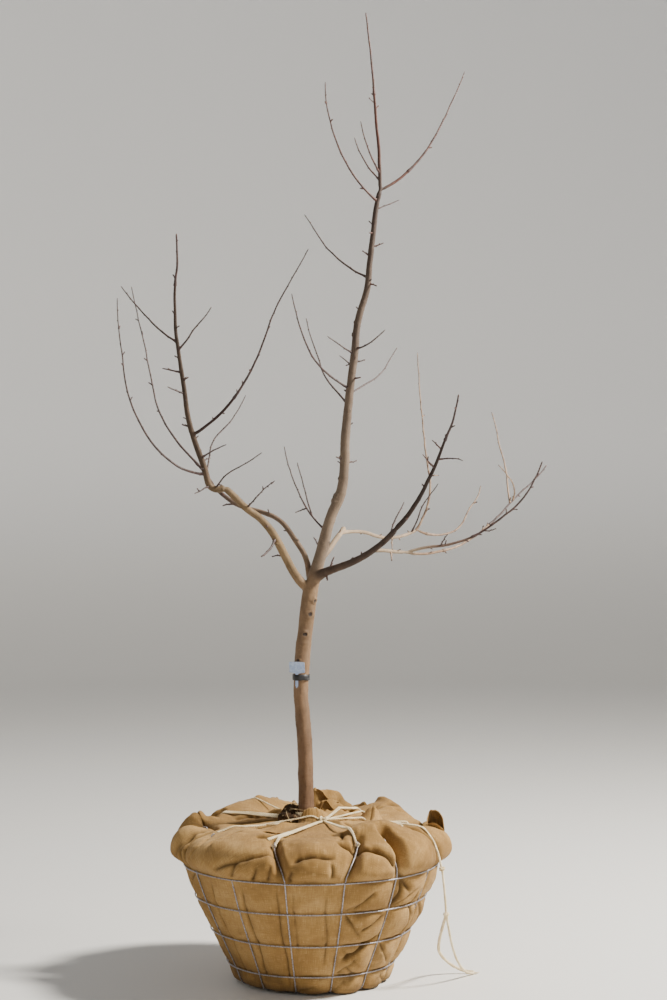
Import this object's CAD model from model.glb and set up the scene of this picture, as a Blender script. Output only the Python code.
"""A young bare tree standing on its burlapped root ball in a wire basket: bark, shoots, burlap, wire, twine and tag."""
import math
import time

import bpy
import numpy as np
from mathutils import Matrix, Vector
from mathutils.bvhtree import BVHTree


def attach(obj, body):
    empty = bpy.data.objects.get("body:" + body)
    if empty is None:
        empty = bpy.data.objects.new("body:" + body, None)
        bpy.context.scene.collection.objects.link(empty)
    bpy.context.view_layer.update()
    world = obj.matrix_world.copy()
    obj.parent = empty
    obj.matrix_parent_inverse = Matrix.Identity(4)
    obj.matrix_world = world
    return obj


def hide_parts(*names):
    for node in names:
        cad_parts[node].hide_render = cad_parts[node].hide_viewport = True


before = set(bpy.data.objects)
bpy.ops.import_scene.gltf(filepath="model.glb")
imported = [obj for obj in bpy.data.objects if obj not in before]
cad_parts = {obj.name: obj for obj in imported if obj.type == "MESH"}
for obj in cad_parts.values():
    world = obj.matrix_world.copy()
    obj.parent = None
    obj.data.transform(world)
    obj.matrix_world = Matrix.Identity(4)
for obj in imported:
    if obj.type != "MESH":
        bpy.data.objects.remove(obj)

STARTED = time.perf_counter()
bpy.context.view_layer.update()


def lap(what):
    print("%6.1f s  %s" % (time.perf_counter() - STARTED, what))


# ------------------------------------------------------------------ camera
camera_data = bpy.data.cameras.new("camera")
camera_data.sensor_width = 36.0
camera_data.lens = 68.4
camera_data.clip_end = 100.0
camera = bpy.data.objects.new("camera", camera_data)
camera.location = (0.077, -6.5, 1.57)
camera.rotation_euler = (math.radians(90.51), 0.0, 0.0)
bpy.context.scene.collection.objects.link(camera)
bpy.context.scene.camera = camera

# ------------------------------------------------------------------ the tree's sizes, millimetres
TRUNK_FOOT = (-15.0, 0.0, 520.0)
GROWTH = 48
LIMBS = {
    "trunk": {"length": 803, "girth": [52.0, 52.0], "lean": [-1.6, -0.7, -3.3, -5.3, 4.5, 6.6, 9.9], "back": [0.0]},
    "leader": {"from": "trunk", "at": 1.0, "length": 1400, "girth": [41.1, 16.5], "lean": [16.8, 15.4, 12.9, 26.6, 3.9, 2.5, 4.8, 6.3, 8.7, 2.8, 21.0, 3.2, 8.2, 4.6, 17.9], "back": [0.8, 0.8]},
    "leader_top": {"from": "leader", "at": 1.0, "length": 599, "girth": [13.7, 4.8], "lean": [-0.5, -5.6, -4.4, -8.3], "back": [-4.7, -4.8]},
    "top_right_shoot": {"from": "leader", "at": 1.0, "length": 580, "girth": [10.3, 3.5], "lean": [62.1, 42.5, 28.2, 23.7, 21.8], "back": [18.7, 17.5]},
    "top_left_shoot": {"from": "leader", "at": 0.972, "length": 467, "girth": [8.9, 3.3], "lean": [-54.4, -38.4, -25.3, -15.3, 1.1], "back": [-26.1, -30.1]},
    "top_inner_shoot_rear": {"from": "leader_top", "at": 0.057, "length": 228, "girth": [6.2, 3.1], "lean": [-39.6, -28.0, -11.8], "back": [32.7, 32.9]},
    "top_inner_shoot_front": {"from": "leader_top", "at": 0.097, "length": 212, "girth": [6.5, 3.0], "lean": [-35.7, -24.0, -13.9], "back": [-38.4, -40.8]},
    "leader_shoot_front": {"from": "leader", "at": 0.505, "length": 437, "girth": [8.9, 3.3], "lean": [-65.3, -51.3, -26.1, -16.6, -11.7], "back": [-29.4, -34.4]},
    "leader_shoot_back": {"from": "leader", "at": 0.463, "length": 403, "girth": [6.9, 3.2], "lean": [-36.4, -40.4, -15.6, -19.8, -10.4], "back": [29.5, 26.8]},
    "leader_shoot_high": {"from": "leader", "at": 0.782, "length": 371, "girth": [7.5, 3.2], "lean": [-62.6, -48.7, -32.1, -30.0], "back": [26.2, 26.6]},
    "leader_shoot_left": {"from": "leader", "at": 0.59, "length": 151, "girth": [6.2, 3.4], "lean": [-64.9, -56.7], "back": [-46.8]},
    "leader_shoot_right": {"from": "leader", "at": 0.605, "length": 171, "girth": [6.5, 3.4], "lean": [91.8, 55.5, 50.5], "back": [-49.7]},
    "leader_shoot_rear": {"from": "leader", "at": 0.489, "length": 359, "girth": [5.8, 3.2], "lean": [48.7, 59.4, 29.7, 30.3], "back": [43.4, 45.4]},
    "left_bough_lower": {"from": "trunk", "at": 0.998, "length": 475, "girth": [30.8, 22.8], "lean": [-53.9, -34.3, -26.6, -26.5, -39.1, -55.4, -42.4, -51.0], "back": [-13.6, -15.8]},
    "left_bough_upper": {"from": "left_bough_lower", "at": 1.0, "length": 901, "girth": [23.5, 5.6], "lean": [-129.1, -11.2, -20.1, -18.3, -13.8, -5.5, -8.0, -8.1, -8.4, 0.9, -1.2, 8.6, -0.8, -1.6], "back": [-8.7, -9.2]},
    "far_left_shoot": {"from": "left_bough_upper", "at": 0.106, "length": 742, "girth": [8.7, 2.9], "lean": [-89.3, -54.7, -32.1, -18.9, -3.1, -5.5, 3.9], "back": [-23.0, -25.6]},
    "left_arc_shoot": {"from": "left_bough_upper", "at": 0.261, "length": 770, "girth": [10.7, 3.2], "lean": [62.1, 43.4, 28.8, 19.3, 32.8, 29.5], "back": [-21.7, -24.8]},
    "left_side_shoot": {"from": "left_bough_upper", "at": 0.608, "length": 360, "girth": [7.3, 3.4], "lean": [-58.6, -45.0, -42.5, -35.4], "back": [34.8, 34.5]},
    "left_short_shoot": {"from": "left_bough_upper", "at": 0.58, "length": 261, "girth": [7.0, 3.2], "lean": [53.3, 40.6, 51.7, 36.7], "back": [-49.3, -49.9]},
    "left_inner_shoot": {"from": "left_bough_upper", "at": 0.106, "length": 353, "girth": [6.4, 3.1], "lean": [11.5, 4.1, 45.4, 31.1, 21.2], "back": [29.7, 29.8]},
    "left_thin_shoot": {"from": "left_bough_upper", "at": 0.036, "length": 242, "girth": [5.7, 3.0], "lean": [32.3, 63.6, 57.1], "back": [-29.1, -39.3]},
    "inner_left_bough": {"from": "trunk", "at": 1.0, "length": 559, "girth": [21.2, 14.0], "lean": [-3.7, -9.0, -35.9, -34.0, -67.8, -78.7, -55.8, -44.5], "back": [16.1, 19.7]},
    "second_left_shoot": {"from": "inner_left_bough", "at": 1.0, "length": 820, "girth": [9.5, 3.2], "lean": [-33.6, -45.0, -33.2, -12.3, -12.1, -14.8, -12.1], "back": [12.0, 11.7]},
    "rear_thin_shoot": {"from": "leader", "at": 0.148, "length": 427, "girth": [6.8, 3.2], "lean": [-49.8, -29.3, -19.7, -12.0], "back": [33.7, 41.1]},
    "rear_thin_shoot_inner": {"from": "rear_thin_shoot", "at": 0.215, "length": 253, "girth": [5.5, 3.2], "lean": [-15.9, -15.7, -14.9], "back": [41.3, 40.2]},
    "right_bough_lower": {"from": "leader", "at": 0.032, "length": 404, "girth": [28.7, 17.8], "lean": [59.9, 70.0, 68.3, 62.8, 51.4, 49.0, 35.0], "back": [-35.9, -37.2]},
    "right_bough_upper": {"from": "right_bough_lower", "at": 1.0, "length": 520, "girth": [17.8, 5.1], "lean": [44.2, 35.0, 26.5, 27.4, 18.1, 22.7, 13.8, 7.3], "back": [-24.2, -26.0]},
    "lower_right_bough": {"from": "right_bough_lower", "at": 0.541, "length": 221, "girth": [14.8, 11.7], "lean": [42.5, 88.8, 99.1, 86.5], "back": [43.2, 41.4]},
    "lower_right_front_limb": {"from": "lower_right_bough", "at": 1.0, "length": 595, "girth": [11.0, 5.2], "lean": [72.7, 85.3, 70.1, 55.4, 51.2, 30.1, 20.9], "back": [3.9, 3.8]},
    "lower_right_rear_limb": {"from": "lower_right_bough", "at": 0.955, "length": 758, "girth": [9.9, 4.4], "lean": [102.0, 81.2, 65.3, 50.4, 42.5, 52.4, 37.8], "back": [33.5, 31.3]},
    "lower_right_upright": {"from": "lower_right_rear_limb", "at": 0.696, "length": 363, "girth": [7.2, 3.7], "lean": [-9.3, -1.1, -15.2, -7.2, -16.3], "back": [22.3, 23.7]},
    "rear_right_stem": {"from": "leader", "at": 0.074, "length": 187, "girth": [20.5, 18.1], "lean": [49.4, 30.5, 41.8], "back": [37.5, 41.4]},
    "rear_right_arm": {"from": "rear_right_stem", "at": 0.829, "length": 432, "girth": [13.2, 10.6], "lean": [78.0, 91.0, 113.7, 90.4, 76.2, 62.1], "back": [48.8, 47.2]},
    "rear_right_arc": {"from": "rear_right_arm", "at": 1.0, "length": 378, "girth": [9.5, 3.7], "lean": [122.2, 91.4, 67.8, 23.6, 38.9, 10.1], "back": [25.1, 24.9]},
    "rear_right_upright": {"from": "rear_right_arm", "at": 0.982, "length": 671, "girth": [8.7, 3.3], "lean": [35.1, 14.3, -10.7, -4.7, -5.9, -3.1, -3.3], "back": [7.4, 7.2]},
    "rear_right_dark_shoot": {"from": "rear_right_arm", "at": 0.921, "length": 217, "girth": [5.8, 3.2], "lean": [27.6, 15.7, 37.0, 30.9], "back": [-25.3, -26.7]},
}
SWELL = {"leader": (9, 70), "left_bough_lower": (4, 50), "right_bough_lower": (4, 45), "inner_left_bough": (3, 40)}
BOUGHS = ["trunk", "leader", "left_bough_lower", "left_bough_upper", "inner_left_bough", "right_bough_lower",
          "right_bough_upper", "lower_right_bough", "rear_right_stem", "rear_right_arm"]

# short side shoots and spurs: parent, share of its length, length, girth at foot and tip, lean, back
TWIGS = [
    ('leader', 0.952, 100, (5.1, 3.1), [66, 62], 29),
    ('leader_top', 0.493, 25, (4.1, 3.1), [-51], -23),
    ('leader', 0.561, 77, (5.1, 3.1), [-49, -47], 40),
    ('leader', 0.836, 32, (6.2, 4.8), [-67, -51], -21),
    ('leader', 0.858, 43, (6.2, 4.5), [72, 66], 16),
    ('leader', 0.767, 34, (6.2, 4.8), [101, 116], -35),
    ('leader', 0.573, 39, (6.5, 4.8), [94, 68], 22),
    ('leader', 0.53, 34, (6.5, 5.1), [93, 76], -34),
    ('leader', 0.892, 23, (5.8, 4.8), [-91], -60),
    ('leader', 0.333, 35, (6.8, 5.1), [-99, -64], -35),
    ('leader', 0.323, 49, (6.2, 4.5), [86, 74], 37),
    ('left_bough_upper', 0.495, 71, (6.6, 4.0), [-77, -76], 24),
    ('left_bough_upper', 0.465, 28, (6.6, 5.0), [65, 66], -47),
    ('left_bough_upper', 0.417, 67, (6.3, 4.0), [-77, -64], -36),
    ('left_bough_upper', 0.293, 34, (6.7, 5.3), [-81, -69], 35),
    ('left_bough_upper', 0.168, 113, (6.4, 3.3), [56, 64, 70], -32),
    ('left_bough_upper', 0.155, 49, (6.0, 4.4), [49, 71], 58),
    ('left_bough_upper', 0.05, 77, (6.4, 3.7), [-70, -133, -107], -41),
    ('left_bough_lower', 0.476, 105, (8.8, 5.4), [-169, -145, -122], -42),
    ('left_bough_lower', 0.314, 53, (6.8, 4.8), [-70, -110], 34),
    ('left_bough_lower', 0.778, 166, (5.7, 3.0), [44, 43, 59], -37),
    ('inner_left_bough', 0.786, 80, (7.7, 4.9), [-68, -109], 39),
    ('rear_thin_shoot', 0.303, 57, (5.2, 3.1), [-111, -112], 45),
    ('leader', 0.094, 83, (6.2, 3.8), [-19, -34], 47),
    ('right_bough_upper', 0.552, 90, (5.8, 3.2), [85, 87, 114], -33),
    ('right_bough_upper', 0.625, 49, (5.5, 3.5), [-43, -42], 37),
    ('right_bough_upper', 0.493, 67, (5.5, 3.2), [-52, -37], -36),
    ('right_bough_lower', 0.923, 129, (6.3, 3.3), [5, 29, 27], 28),
    ('right_bough_lower', 0.354, 39, (6.8, 4.7), [43, 44], -31),
    ('right_bough_lower', 0.133, 32, (7.5, 5.4), [158, 172], -37),
    ('right_bough_lower', 0.183, 46, (7.5, 5.1), [8, 26], 13),
    ('rear_right_upright', 0.317, 38, (5.5, 4.0), [89, 83], 32),
    ('lower_right_bough', 0.65, 35, (6.1, 4.8), [176, 172], -35),
    ('rear_right_arm', 0.658, 50, (5.7, 3.9), [-175, -182], -37),
    ('lower_right_rear_limb', 0.719, 176, (6.1, 3.2), [19, -36, -49], -35),
    ('lower_right_front_limb', 0.2, 51, (5.5, 3.8), [16, 39], -36),
    ('lower_right_front_limb', 0.466, 54, (5.2, 3.4), [102, 59], -47),
]

# the ball and its basket, millimetres
SPOKES = 14
SPOKE_TURN = -10.4
RINGS = [(287, 66), (342, 178), (395, 291), (434, 397)]
WIRE = 4.8
UNDER = WIRE * 0.92


# ------------------------------------------------------------------ small maths
def smooth(a, b, x):
    t = np.clip((x - a) / (b - a), 0.0, 1.0)
    return t * t * (3 - 2 * t)


def bell(x, width):
    return np.exp(-(x / width) ** 2)


def lattice(p, seed):
    """smooth noise at points p (n, 3) in cell units, -1..1"""
    i = np.floor(p).astype(np.int64)
    f = p - i
    u = f * f * f * (f * (f * 6 - 15) + 10)

    def corner(dx, dy, dz):
        n = (i[:, 0] + dx) * 374761393 + (i[:, 1] + dy) * 668265263 + (i[:, 2] + dz) * 1103515245 + seed * 974634777
        n &= 0xFFFFFFFF
        n = ((n ^ (n >> 13)) * 1274126177) & 0xFFFFFFFF
        n = ((n ^ (n >> 15)) * 2246822519) & 0xFFFFFFFF
        return ((n ^ (n >> 16)) & 0xFFFF) / 32767.5 - 1.0
    out = 0.0
    for dx in (0, 1):
        wx = u[:, 0] if dx else 1 - u[:, 0]
        for dy in (0, 1):
            wy = u[:, 1] if dy else 1 - u[:, 1]
            for dz in (0, 1):
                wz = u[:, 2] if dz else 1 - u[:, 2]
                out = out + corner(dx, dy, dz) * wx * wy * wz
    return out * 1.35


def fractal(p, scale, seed, octaves=3, rough=0.5):
    """scale: size of the largest features, in the units of p"""
    out, amp, total = 0.0, 1.0, 0.0
    q = np.asarray(p, float) / scale
    for k in range(octaves):
        out = out + amp * lattice(q + 17.3 * k, seed + 31 * k)
        total += amp
        amp *= rough
        q = q * 2.03
    return out / total


def along(values, t):
    values = list(values)
    if len(values) < 2:
        return np.full(np.shape(t), float(values[0]))
    return np.interp(t, np.linspace(0, 1, len(values)), values)


def unit(v):
    return v / np.maximum(np.linalg.norm(v, axis=-1, keepdims=True), 1e-12)


# ------------------------------------------------------------------ centrelines
def grow(start, length, lean, back):
    t = (np.arange(GROWTH) + 0.5) / GROWTH
    a, b = np.radians(along(lean, t)), np.radians(along(back, t))
    d = np.stack([np.sin(a) * np.cos(b), np.sin(b), np.cos(a) * np.cos(b)], 1) * (length / GROWTH)
    return np.vstack([start, start + np.cumsum(d, 0)])


def point_on(path, t):
    f = np.clip(t, 0, 1) * (len(path) - 1)
    return np.array([np.interp(f, np.arange(len(path)), path[:, k]) for k in range(3)]).T


def girth(name, t):
    limb = LIMBS[name]
    s = t * limb["length"]
    d = limb["girth"][0] + (limb["girth"][1] - limb["girth"][0]) * t
    if name in SWELL:
        d = d + SWELL[name][0] * np.exp(-s / SWELL[name][1])
    if name == "trunk":
        d = d + 9.0 * np.exp(-s / 60.0)
    return d


paths = {}
for name, limb in LIMBS.items():
    start = np.array(TRUNK_FOOT) if not limb.get("from") else point_on(paths[limb["from"]], limb["at"])
    paths[name] = grow(start, limb["length"], limb["lean"], limb["back"])


def fine(path, step):
    """an evenly spaced, rounded copy of a path"""
    seg = np.r_[0, np.cumsum(np.linalg.norm(np.diff(path, axis=0), axis=1))]
    n = max(4, int(round(seg[-1] / step)) + 1)
    t = np.linspace(0, seg[-1], n)
    out = np.stack([np.interp(t, seg, path[:, k]) for k in range(3)], 1)
    for _ in range(max(1, int(seg[-1] / len(path) / step))):
        mid = out.copy()
        mid[1:-1] = (out[:-2] + 2 * out[1:-1] + out[2:]) / 4
        out = mid
    return out, t


def frames_of(path, up=(0.0, -1.0, 0.0)):
    """tangents and turn-free normals along a path"""
    tan = np.gradient(path, axis=0)
    tan = unit(tan)
    n = np.array(up, float) - tan[0] * np.dot(tan[0], up)
    if np.linalg.norm(n) < 0.2:
        n = np.array([1.0, 0, 0]) - tan[0] * tan[0][0]
    n = n / np.linalg.norm(n)
    normals = [n]
    for k in range(1, len(path)):
        n = normals[-1] - tan[k] * np.dot(tan[k], normals[-1])
        normals.append(n / max(np.linalg.norm(n), 1e-9))
    normals = np.array(normals)
    return tan, normals, np.cross(tan, normals)


# ------------------------------------------------------------------ mesh building
class Shape:
    """collects vertices and faces, in metres"""

    def __init__(self):
        self.v, self.q, self.t, self.n, self.extra = [], [], [], 0, {}

    def add(self, v, quads=None, tris=None, **extra):
        v = np.asarray(v, float).reshape(-1, 3)
        if quads is not None and len(quads):
            self.q.append(np.asarray(quads, np.int64).reshape(-1, 4) + self.n)
        if tris is not None and len(tris):
            self.t.append(np.asarray(tris, np.int64).reshape(-1, 3) + self.n)
        for key, value in extra.items():
            value = np.broadcast_to(np.asarray(value, float), (len(v),) + np.shape(value)[-1:] if np.ndim(value) and np.shape(value)[0] != len(v) else (len(v),) + np.shape(value)[1:])
            self.extra.setdefault(key, []).append(np.array(value))
        self.v.append(v)
        self.n += len(v)

    def faces(self):
        return sum(len(q) * 2 for q in self.q) + sum(len(t) for t in self.t)

    def build(self, name, material=None):
        v = np.vstack(self.v)
        q = np.vstack(self.q) if self.q else np.zeros((0, 4), np.int64)
        t = np.vstack(self.t) if self.t else np.zeros((0, 3), np.int64)
        mesh = raw_mesh(name, v, q, t)
        for key, parts in self.extra.items():
            data = np.concatenate(parts)
            put(mesh, key, data)
        return place(name, mesh, material)


def raw_mesh(name, v, q, t=None):
    t = np.zeros((0, 3), np.int64) if t is None else t
    mesh = bpy.data.meshes.new(name)
    mesh.vertices.add(len(v))
    mesh.vertices.foreach_set("co", np.asarray(v, np.float32).ravel())
    loops = np.concatenate([q.ravel(), t.ravel()]).astype(np.int32)
    mesh.loops.add(len(loops))
    mesh.loops.foreach_set("vertex_index", loops)
    starts = np.concatenate([np.arange(len(q)) * 4, len(q) * 4 + np.arange(len(t)) * 3]).astype(np.int32)
    mesh.polygons.add(len(starts))
    mesh.polygons.foreach_set("loop_start", starts)
    mesh.update(calc_edges=True)
    mesh.validate()
    mesh.polygons.foreach_set("use_smooth", np.ones(len(mesh.polygons), bool))
    mesh.update()
    return mesh


def put(mesh, key, data):
    data = np.asarray(data, np.float32)
    if data.ndim == 1:
        a = mesh.attributes.new(key, "FLOAT", "POINT")
        a.data.foreach_set("value", data)
    elif data.shape[1] == 3:
        a = mesh.attributes.new(key, "FLOAT_VECTOR", "POINT")
        a.data.foreach_set("vector", data.ravel())


def place(name, mesh, material=None):
    obj = bpy.data.objects.new(name, mesh)
    bpy.context.scene.collection.objects.link(obj)
    if material is not None:
        mesh.materials.append(material)
    return obj


def read(mesh):
    v = np.empty(len(mesh.vertices) * 3, np.float32)
    mesh.vertices.foreach_get("co", v)
    return v.reshape(-1, 3).astype(float)


def ring_quads(rings, sides, closed=True):
    i = np.arange(rings - 1)[:, None] * sides
    j = np.arange(sides if closed else sides - 1)[None, :]
    k = (j + 1) % sides
    return np.stack([i + j, i + k, i + sides + k, i + sides + j], -1).reshape(-1, 4)


def sweep(shape, path, radius, sides, up=(0.0, -1.0, 0.0), caps=(True, True), squash=None, **extra):
    """a round bar along a path (mm); radius per point (mm) or (points, sides)"""
    n = len(path)
    tan, nor, bi = frames_of(path, up)
    a = np.linspace(0, 2 * np.pi, sides, endpoint=False)
    r = np.asarray(radius, float)
    r = np.repeat(r[:, None], sides, 1) if r.ndim == 1 else r
    rim = path[:, None, :] + r[..., None] * (np.cos(a)[None, :, None] * nor[:, None, :] + np.sin(a)[None, :, None] * bi[:, None, :])
    v = rim.reshape(-1, 3)
    quads = ring_quads(n, sides)
    tris = []
    if caps[0]:
        v = np.vstack([v, path[0] - tan[0] * r[0].mean() * 0.3])
        c = len(v) - 1
        j = np.arange(sides)
        tris.append(np.stack([np.full(sides, c), (j + 1) % sides, j], -1))
    if caps[1]:
        v = np.vstack([v, path[-1] + tan[-1] * r[-1].mean() * 0.5])
        c = len(v) - 1
        j = np.arange(sides) + (n - 1) * sides
        k = (np.arange(sides) + 1) % sides + (n - 1) * sides
        tris.append(np.stack([np.full(sides, c), j, k], -1))
    e = {}
    for key, value in extra.items():
        value = np.asarray(value, float)
        if value.ndim >= 1 and value.shape[0] == n:
            w = np.repeat(value, sides, 0)
            if caps[0]:
                w = np.concatenate([w, value[:1]])
            if caps[1]:
                w = np.concatenate([w, value[-1:]])
            value = w
        elif value.ndim == 0:
            value = np.full(len(v), float(value))
        else:
            value = np.tile(value, (len(v), 1))
        e[key] = value
    shape.add(v / 1000.0, quads, np.vstack(tris) if tris else None, **e)


# ------------------------------------------------------------------ materials
class Graph:
    """short names for material nodes"""

    def __init__(self, name):
        self.material = bpy.data.materials.new(name)
        self.material.use_nodes = True
        self.tree = self.material.node_tree
        self.tree.nodes.clear()
        out = self.tree.nodes.new("ShaderNodeOutputMaterial")
        self.shader = self.tree.nodes.new("ShaderNodeBsdfPrincipled")
        self.tree.links.new(self.shader.outputs[0], out.inputs[0])

    def to(self, socket, value):
        if isinstance(value, bpy.types.NodeSocket):
            self.tree.links.new(value, socket)
        elif isinstance(value, (tuple, list)) and len(value) == 3 and socket.type == "RGBA":
            socket.default_value = (*value, 1.0)
        else:
            socket.default_value = value

    def set(self, name, value):
        self.to(self.shader.inputs[name], value)

    def node(self, kind, inputs=(), **props):
        n = self.tree.nodes.new(kind)
        for k, v in props.items():
            setattr(n, k, v)
        for k, v in (inputs.items() if isinstance(inputs, dict) else enumerate(inputs)):
            self.to(n.inputs[k], v)
        return n

    def coords(self):
        return self.node("ShaderNodeTexCoord").outputs["Object"]

    def attribute(self, name, kind="Vector"):
        return self.node("ShaderNodeAttribute", attribute_name=name, attribute_type="GEOMETRY").outputs[kind]

    def scaled(self, vector, scale, offset=(0, 0, 0)):
        return self.node("ShaderNodeMapping", {"Vector": vector, "Scale": scale, "Location": offset}).outputs[0]

    def noise(self, vector, scale, detail=2.0, rough=0.5, distortion=0.0):
        return self.node("ShaderNodeTexNoise", {"Vector": vector, "Scale": scale, "Detail": detail, "Roughness": rough,
                                                "Distortion": distortion}).outputs[0]

    def cells(self, vector, scale, feature="F1", randomness=1.0, output=0):
        return self.node("ShaderNodeTexVoronoi", {"Vector": vector, "Scale": scale, "Randomness": randomness}, feature=feature).outputs[output]

    def math(self, op, a, b=0.0, clamp=False):
        return self.node("ShaderNodeMath", [a, b], operation=op, use_clamp=clamp).outputs[0]

    def range(self, value, low, high, a=0.0, b=1.0, kind="SMOOTHSTEP"):
        n = self.node("ShaderNodeMapRange", {"Value": value, "From Min": low, "From Max": high, "To Min": a, "To Max": b}, interpolation_type=kind)
        return n.outputs[0]

    def mix(self, factor, a, b, blend="MIX"):
        n = self.node("ShaderNodeMix", data_type="RGBA", blend_type=blend, clamp_factor=True)
        self.to(n.inputs[0], factor)
        self.to(n.inputs[6], a)
        self.to(n.inputs[7], b)
        return n.outputs[2]

    def ramp(self, factor, stops):
        n = self.node("ShaderNodeValToRGB", [factor])
        e = n.color_ramp.elements
        while len(e) < len(stops):
            e.new(0.5)
        for el, (at, colour) in zip(e, stops):
            el.position = at
            el.color = (*colour, 1.0)
        return n.outputs[0]

    def bump(self, height, strength=0.5, distance=0.001, after=None):
        ins = {"Strength": strength, "Distance": distance, "Height": height}
        if after is not None:
            ins["Normal"] = after
        return self.node("ShaderNodeBump", ins).outputs[0]


def srgb(r, g, b):
    return tuple((c / 255 / 12.92) if c / 255 <= 0.04045 else ((c / 255 + 0.055) / 1.055) ** 2.4 for c in (r, g, b))


def bark_material():
    g = Graph("young_tree_bark")
    at = g.attribute("bark_at")                 # across, across, along, in metres
    tone = g.attribute("bark_tone")             # the limb's own colour
    scar = g.attribute("bark_scar", "Fac")
    pos = g.coords()
    broad = g.noise(g.scaled(pos, (14, 14, 8)), 1.0, 3, 0.55)
    mottle = g.noise(g.scaled(pos, (70, 70, 42)), 1.0, 4, 0.6)
    fine_grain = g.noise(g.scaled(at, (900, 900, 160)), 1.0, 3, 0.6)
    pores = g.noise(g.scaled(at, (1400, 1400, 1400)), 1.0, 2, 0.5)
    # lenticels: short cross dashes
    dash = g.cells(g.scaled(at, (85, 85, 300)), 1.0)
    gate = g.noise(g.scaled(at, (30, 30, 22), (4, 9, 2)), 1.0, 2)
    dash_on = g.math("MULTIPLY", g.range(dash, 0.26, 0.12), g.range(gate, 0.42, 0.55))
    # dark weathered streaks along the limb and rings round it
    streak = g.noise(g.scaled(at, (160, 160, 9), (1, 2, 3)), 1.0, 3, 0.55)
    rings = g.noise(g.scaled(at, (16, 16, 330), (7, 1, 0)), 1.0, 2, 0.5)
    colour = g.mix(g.range(broad, 0.32, 0.68), g.mix(1.0, tone, (0.74, 0.70, 0.66), "MULTIPLY"), g.mix(1.0, tone, (1.14, 1.08, 1.0), "MULTIPLY"))
    colour = g.mix(g.range(mottle, 0.52, 0.72, 0.0, 0.55), colour, g.mix(1.0, tone, (0.55, 0.52, 0.52), "MULTIPLY"))
    colour = g.mix(g.range(mottle, 0.42, 0.25, 0.0, 0.5), colour, g.mix(1.0, tone, (1.28, 1.27, 1.22), "MULTIPLY"))
    colour = g.mix(g.range(streak, 0.56, 0.75, 0.0, 0.5), colour, g.mix(1.0, tone, (0.5, 0.46, 0.42), "MULTIPLY"))
    colour = g.mix(g.range(rings, 0.62, 0.74, 0.0, 0.35), colour, g.mix(1.0, tone, (0.6, 0.55, 0.5), "MULTIPLY"))
    colour = g.mix(g.math("MULTIPLY", dash_on, 0.75), colour, g.mix(1.0, tone, (1.5, 1.36, 1.15), "MULTIPLY"))
    colour = g.mix(g.range(fine_grain, 0.35, 0.65, 0.0, 0.22), colour, g.mix(1.0, tone, (0.62, 0.58, 0.55), "MULTIPLY"))
    colour = g.mix(g.range(scar, 0.1, 0.8), colour, g.mix(g.range(g.noise(g.scaled(at, (300, 300, 300)), 1.0, 3), 0.4, 0.6), srgb(70, 55, 44), srgb(38, 30, 26)))
    g.set("Base Color", colour)
    g.set("Roughness", g.range(mottle, 0.3, 0.7, 0.62, 0.86))
    g.set("Specular IOR Level", 0.3)
    n1 = g.bump(g.math("ADD", g.math("MULTIPLY", mottle, 0.7), g.math("MULTIPLY", rings, 0.5)), 0.55, 0.0016)
    n2 = g.bump(g.math("ADD", g.math("ADD", g.math("MULTIPLY", fine_grain, 0.5), g.math("MULTIPLY", pores, 0.35)), g.math("MULTIPLY", dash_on, 0.9)), 0.6, 0.0007, n1)
    g.set("Normal", n2)
    return g.material


def shoot_material(name, colour, dark, roughness=0.5, bloom=0.0):
    g = Graph(name)
    at = g.coords()
    a = g.noise(at, 55.0, 3, 0.6)
    b = g.noise(at, 900.0, 2, 0.5)
    c = g.mix(g.range(a, 0.35, 0.65), dark, colour)
    c = g.mix(g.range(b, 0.6, 0.72, 0.0, 0.6), c, tuple(min(1.0, x * 1.9 + 0.02) for x in colour))
    c = g.mix(g.range(b, 0.4, 0.3, 0.0, 0.35), c, tuple(x * 0.5 for x in dark))
    g.set("Base Color", c)
    g.set("Roughness", roughness)
    g.set("Specular IOR Level", 0.35)
    g.set("Normal", g.bump(g.math("ADD", b, g.math("MULTIPLY", a, 0.5)), 0.4, 0.0005))
    return g.material


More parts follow.
